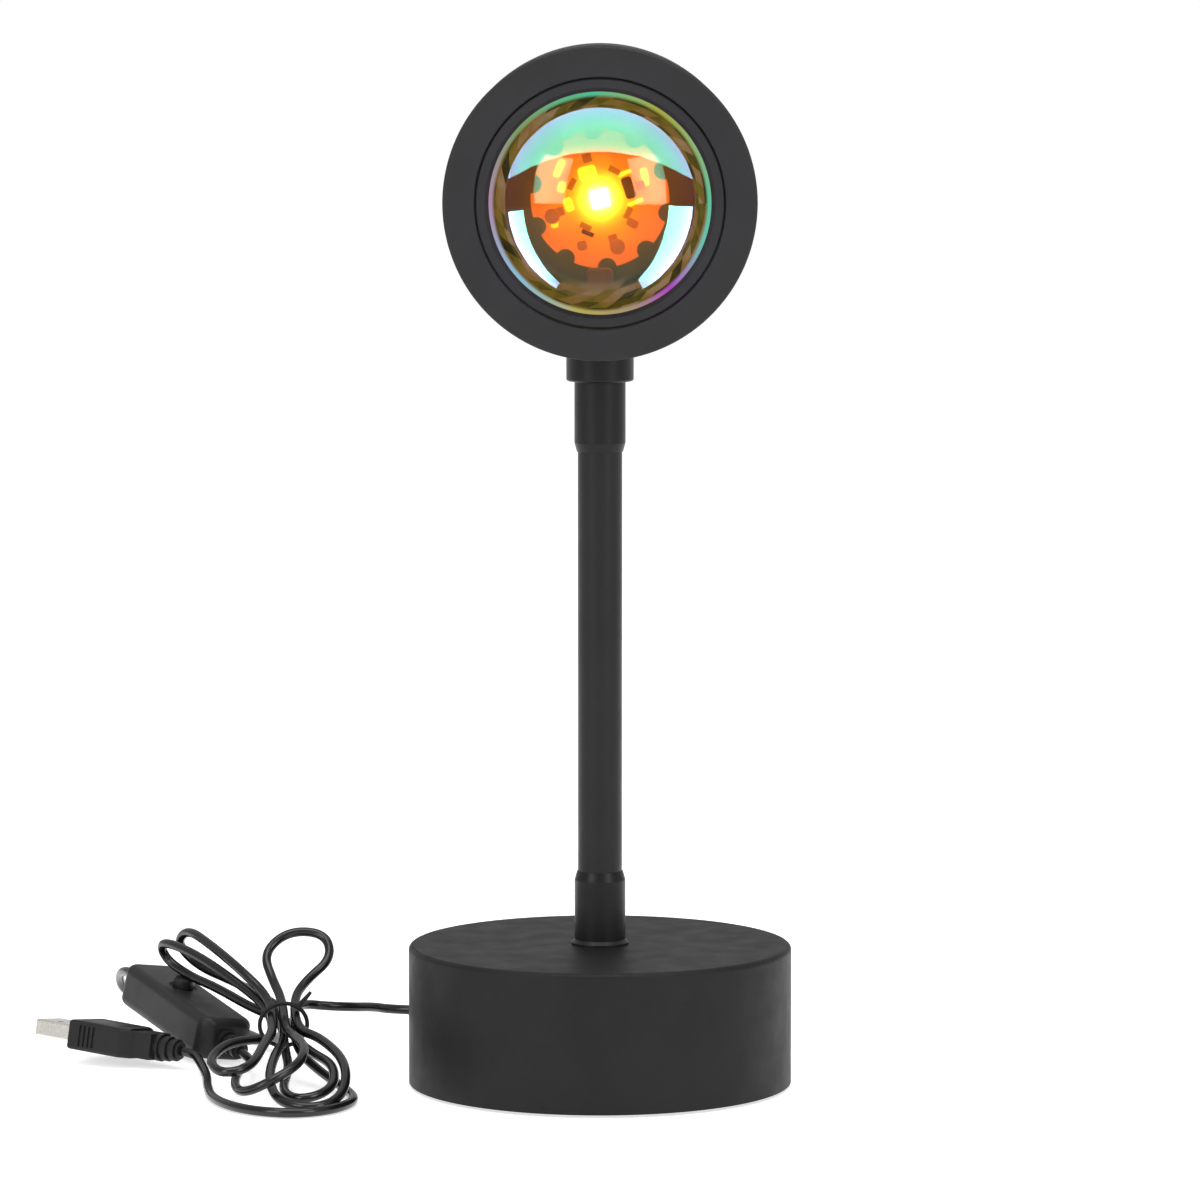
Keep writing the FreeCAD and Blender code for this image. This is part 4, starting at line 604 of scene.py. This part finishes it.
def painted_glow_look(name, dark, pale, level, painted_glow_colours=BOARD_PAINTED_GLOW):
    """A part beside the light source, with painted light: a glow by emission, bright near the light source and
    deeper further out, and painted shade at the top.
    """
    paint = Paint(name)
    up, radius, _ = lens_axes(paint)
    paint.colour(paint.noise(700.0), [(0.3, dark), (0.7, pale)])
    uneven = paint.maths("MULTIPLY", paint.noise(160.0), 0.12)
    out = paint.maths("ADD", paint.maths("MULTIPLY", radius, PAINTED_GLOW_UNIT), uneven)
    paint.link(paint.ramp(out, painted_glow_colours), paint.shader.inputs["Emission Color"])
    # Painted shade: the glow fades towards the top of the board.
    shade = paint.ramp(smooth_step(paint, up, *PAINTED_TOP_SHADE), [(0.0, 1.0), (1.0, 0.12)])
    lit = paint.maths("MULTIPLY", paint.ramp(out, PAINTED_GLOW_STRENGTH), shade)
    paint.link(paint.maths("MULTIPLY", lit, level), paint.shader.inputs["Emission Strength"])
    paint.put(Roughness=0.35)
    return paint.material


def led_look():
    """The lit light source, white-hot."""
    paint = Paint("led_lit")
    paint.colour(paint.noise(800.0), [(0.3, (0.95, 0.85, 0.45)), (0.7, (1.0, 0.92, 0.6))])
    paint.put(Emission_Color=(1.0, 0.90, 0.70, 1.0), Emission_Strength=60.0, Roughness=0.3)
    return paint.material


# Painted light: the board, its components and pads glow by emission as if lit by the light source.
looks["board_white"] = painted_glow_look("board_mask_lit", (0.80, 0.79, 0.74), (0.88, 0.87, 0.83), 6.0)
looks["components"] = painted_glow_look("component_lit", (0.10, 0.07, 0.04), (0.16, 0.12, 0.07), 3.4)
looks["lit_pad"] = painted_glow_look("solder_pad_lit", (0.70, 0.62, 0.40), (0.80, 0.72, 0.50), 15.0, PAD_PAINTED_GLOW)
# Painted shade: the dim parts glow only weakly, as if they were in shade.
looks["dim_part"] = painted_glow_look("shaded_component", (0.05, 0.03, 0.02), (0.08, 0.05, 0.03), 0.9)
looks["lens_glass"] = glass_look()
looks["dichroic_glass"] = filter_look()
looks["led"] = led_look()


def dress(obj, look):
    """Give an object one of the looks."""
    obj.data.materials.clear()
    obj.data.materials.append(looks[look])


slot_of_node = {part["node"]: part["material_slot"] for part in frame["record"]["subparts"]}
for node, obj in frame["nodes"].items():
    dress(obj, slot_of_node[node])

# ---- the cord takes the place of its four solids ----
dress(power_cord, "cord_pvc")
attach(power_cord, "base")
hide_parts("cord_lead", "cord_hank", "cord_return", "cord_tail")

# ---- the neck's skin: one straight tube per hinge, each spanning its own joint ----
SLEEVE_OUTER = 11.5
SLEEVE_INNER = 9.2
SLEEVE_SIDES = 64
SLEEVE_STEPS = 12
WIRE_DIAMETER = 1.1
WIRE_OFFSET = 0.8
WIRE_SIDES = 12
hinges = [joint for joint in frame["joints"] if joint["type"] == "hinge"]


def tube_mesh(bm, radius, levels, sides, x=0.0, inward=False):
    """Rings of vertices up a tube, joined by faces; gives back its first and last ring."""
    rings = []
    for level in levels:
        ring = []
        for k in range(sides):
            angle = 2 * math.pi * k / sides
            ring.append(bm.verts.new((x + radius * math.cos(angle), radius * math.sin(angle), level)))
        rings.append(ring)
    for low, high in zip(rings, rings[1:]):
        for k in range(sides):
            n = (k + 1) % sides
            face = (low[k], high[k], high[n], low[n]) if inward else (low[k], low[n], high[n], high[k])
            bm.faces.new(face).smooth = True
    return rings[0], rings[-1]


def mesh_object(name, bm):
    """A new object in the scene from a mesh under construction."""
    data = bpy.data.meshes.new(name)
    bm.normal_update()
    bm.to_mesh(data)
    bm.free()
    obj = bpy.data.objects.new(name, data)
    bpy.context.scene.collection.objects.link(obj)
    return obj


def sleeve_piece(name, levels):
    """A length of the sleeve: two coaxial walls, joined at both ends."""
    bm = bmesh.new()
    outer = tube_mesh(bm, SLEEVE_OUTER / 2 * MM, levels, SLEEVE_SIDES)
    inner = tube_mesh(bm, SLEEVE_INNER / 2 * MM, levels, SLEEVE_SIDES, inward=True)
    for k in range(SLEEVE_SIDES):
        n = (k + 1) % SLEEVE_SIDES
        ends = (
            bm.faces.new((outer[0][n], outer[0][k], inner[0][k], inner[0][n])),
            bm.faces.new((outer[1][k], outer[1][n], inner[1][n], inner[1][k])),
        )
        for face in ends:
            for edge in face.edges:
                edge.smooth = False
    return mesh_object(name, bm)


def wire_piece(name, levels):
    """A length of the two wires, side by side."""
    bm = bmesh.new()
    for side in (-1, 1):
        first, last = tube_mesh(bm, WIRE_DIAMETER / 2 * MM, levels, WIRE_SIDES, side * WIRE_OFFSET * MM)
        bm.faces.new(list(reversed(first)))
        bm.faces.new(last)
    return mesh_object(name, bm)


def spread(low, high):
    """Even levels between two heights."""
    return [low + (high - low) * k / SLEEVE_STEPS for k in range(SLEEVE_STEPS + 1)]


NECK_SOFT = (("neck_sleeve", sleeve_piece, "sleeve"), ("neck_wires", wire_piece, "copper_wire"))
half_pitch = (hinges[1]["pos_m"][2] - hinges[0]["pos_m"][2]) / 2
for index, joint in enumerate(hinges):
    centre = joint["pos_m"][2]
    start = centre - half_pitch
    end = centre + half_pitch
    for node, build, look in NECK_SOFT:
        levels = spread(start, end)
        low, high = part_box(node)
        if index == 0:
            levels = [low.z] + levels
        if index == len(hinges) - 1:
            levels = levels + [high.z]
        piece = build(f"{node}_bend_{index + 1}", levels)
        dress(piece, look)
        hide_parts(node)
        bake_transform(piece)

# ---- the light source and what is on its board, placed from the lens's axis in mm ----
LED_TURN = 12.0
LED_BODY = 5.0
LED_CORNER = 0.7
CORNER_SHARE = 0.3
# Each: look, across, up, width, height, thickness, turn in degrees. The lit pads carry a strong painted glow and
# the dim parts a weak one, which is painted shade.
BOARD_DETAILS = [
    ("lit_pad", -3.3, 6.6, 4.8, 3.6, 0.25, 14.0),
    ("lit_pad", -10.6, 7.8, 1.9, 4.8, 0.25, -24.0),
    ("lit_pad", -10.0, 3.0, 2.0, 2.8, 0.25, -14.0),
    ("lit_pad", -8.2, -1.6, 2.2, 3.6, 0.25, 20.0),
    ("lit_pad", -12.2, -5.2, 1.9, 5.0, 0.25, 14.0),
    ("lit_pad", 11.6, 5.6, 1.9, 4.6, 0.25, 10.0),
    ("lit_pad", 9.2, -1.0, 4.2, 1.0, 0.25, 22.0),
    ("lit_pad", 6.4, 6.6, 3.6, 1.0, 0.25, 22.0),
    ("dim_part", 7.4, 2.8, 2.8, 5.8, 0.9, 18.0),
    ("components", 8.4, -6.4, 3.2, 2.2, 1.0, -30.0),
    ("dim_part", -3.2, -9.0, 3.4, 1.2, 0.6, -22.0),
    ("components", -4.6, -12.2, 2.6, 2.6, 1.2, 10.0),
    ("dim_part", 0.0, -20.6, 7.0, 5.4, 2.4, 0.0),
]
board_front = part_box("led_board")[0].y


def rounded_block(name, centre, width, height, thickness, turn, corner):
    """A block with rounded corners standing forward from a board, its back at the centre's depth."""
    bm = bmesh.new()
    bmesh.ops.create_cube(bm, size=1.0)
    bmesh.ops.scale(bm, vec=(width, thickness, height), verts=bm.verts)
    upright = [e for e in bm.edges if abs((e.verts[0].co - e.verts[1].co).normalized().y) > 0.9]
    bmesh.ops.bevel(bm, geom=upright, offset=corner, segments=5, affect="EDGES", profile=0.5)
    front = [e for e in bm.edges if all(v.co.y < -thickness * 0.4 for v in e.verts)]
    rim = [e for e in front if any(len(f.verts) == 4 and abs(f.normal.y) < 0.5 for f in e.link_faces)]
    bmesh.ops.bevel(bm, geom=rim, offset=thickness * 0.3, segments=2, affect="EDGES", profile=0.5)
    bmesh.ops.rotate(bm, matrix=Matrix.Rotation(math.radians(-turn), 3, "Y"), verts=bm.verts)
    bmesh.ops.translate(bm, vec=centre - Vector((0, thickness / 2, 0)), verts=bm.verts)
    return mesh_object(name, bm)


def on_board(across, up):
    """A point of the board's front, across and up from the lens's axis in mm."""
    return Vector((across * MM, board_front, LENS_MIDDLE[2] + up * MM))


for index, (look, across, up, width, height, thickness, turn) in enumerate(BOARD_DETAILS):
    size = (width * MM, height * MM, thickness * MM)
    corner = min(width, height) * CORNER_SHARE * MM
    piece = rounded_block(f"board_detail_{index + 1}", on_board(across, up), *size, turn, corner)
    dress(piece, look)
    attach(piece, "head")

led_size = (LED_BODY * MM, LED_BODY * MM, board_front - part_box("led_chip")[0].y)
led = rounded_block("light_source", on_board(0, 0), *led_size, LED_TURN, LED_CORNER * MM)
dress(led, "led")
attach(led, "head")
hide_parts("led_chip")

# ---- floor and lights ----
FLOOR_SIZE = 6.0


def floor_look():
    """White that keeps the object's shadow, lifted to plain white where it is seen or mirrored."""
    paint = Paint("floor_white")
    paint.colour(paint.noise(3.0), [(0.3, (0.80, 0.80, 0.80)), (0.7, (0.82, 0.82, 0.82))])
    paint.put(Roughness=1.0, Specular_IOR_Level=0.0)
    path = paint.add("ShaderNodeLightPath")
    seen = paint.maths("MAXIMUM", path.outputs["Is Camera Ray"], path.outputs["Is Transmission Ray"])
    seen = paint.maths("MAXIMUM", seen, path.outputs["Is Glossy Ray"])
    paint.link(paint.maths("MULTIPLY", seen, 0.62), paint.shader.inputs["Emission Strength"])
    paint.put(Emission_Color=(1.0, 1.0, 1.0, 1.0))
    return paint.material


bm = bmesh.new()
bmesh.ops.create_grid(bm, x_segments=8, y_segments=8, size=FLOOR_SIZE / 2)
floor = mesh_object("floor", bm)
floor.data.materials.append(floor_look())


def world_look():
    """A white studio: full white to the camera, dimmer as a light."""
    world = bpy.data.worlds.new("studio")
    world.use_nodes = True
    tree = world.node_tree
    background = tree.nodes["Background"]
    path = tree.nodes.new("ShaderNodeLightPath")
    seen = tree.nodes.new("ShaderNodeMapRange")
    seen.inputs["To Min"].default_value = 0.55
    seen.inputs["To Max"].default_value = 1.0
    tree.links.new(path.outputs["Is Camera Ray"], seen.inputs["Value"])
    tree.links.new(seen.outputs[0], background.inputs["Strength"])
    background.inputs["Color"].default_value = (1.0, 1.0, 1.0, 1.0)
    bpy.context.scene.world = world


def softbox(name, place, target, width, height, power, only=None, shape="RECTANGLE"):
    """A soft lamp; with only, it lights and shows in nothing but those objects."""
    data = bpy.data.lights.new(name, "AREA")
    data.shape = shape
    data.size = width
    data.size_y = height
    data.energy = power
    obj = bpy.data.objects.new(name, data)
    obj.location = place
    obj.rotation_euler = (Vector(target) - Vector(place)).to_track_quat("-Z", "Y").to_euler()
    obj.visible_camera = False
    bpy.context.scene.collection.objects.link(obj)
    if only:
        group = bpy.data.collections.new(name + "_only")
        for item in only:
            group.objects.link(item)
        obj.light_linking.receiver_collection = group


world_look()
lens_only = [frame["nodes"]["lens"]]
softbox("light_top", (0.0, -0.2, 1.3), (0.0, 0.0, 0.1), 1.2, 0.8, 9.0)
softbox("light_left", (-0.85, -0.95, 0.62), (0.0, 0.0, 0.16), 0.55, 0.8, 4.6)
softbox("light_right", (0.85, -0.95, 0.62), (0.0, 0.0, 0.16), 0.55, 0.8, 4.6)
softbox("window_top", (0.0, -0.05, 0.48), (0.0, -0.05, 0.0), 2.2, 0.5, 62.0, lens_only, "ELLIPSE")
softbox("window_left", (-0.10, -0.056, 0.125), (0.0, -0.056, 0.125), 0.028, 0.19, 1.4, lens_only)
softbox("window_right", (0.10, -0.064, 0.125), (0.0, -0.064, 0.125), 0.045, 0.20, 2.3, lens_only)
softbox("panel_left", (-0.82, -0.92, 0.60), (0.0, 0.0, 0.16), 0.65, 0.85, 15.0, lens_only)
softbox("panel_right", (0.82, -0.92, 0.60), (0.0, 0.0, 0.16), 0.65, 0.85, 15.0, lens_only)
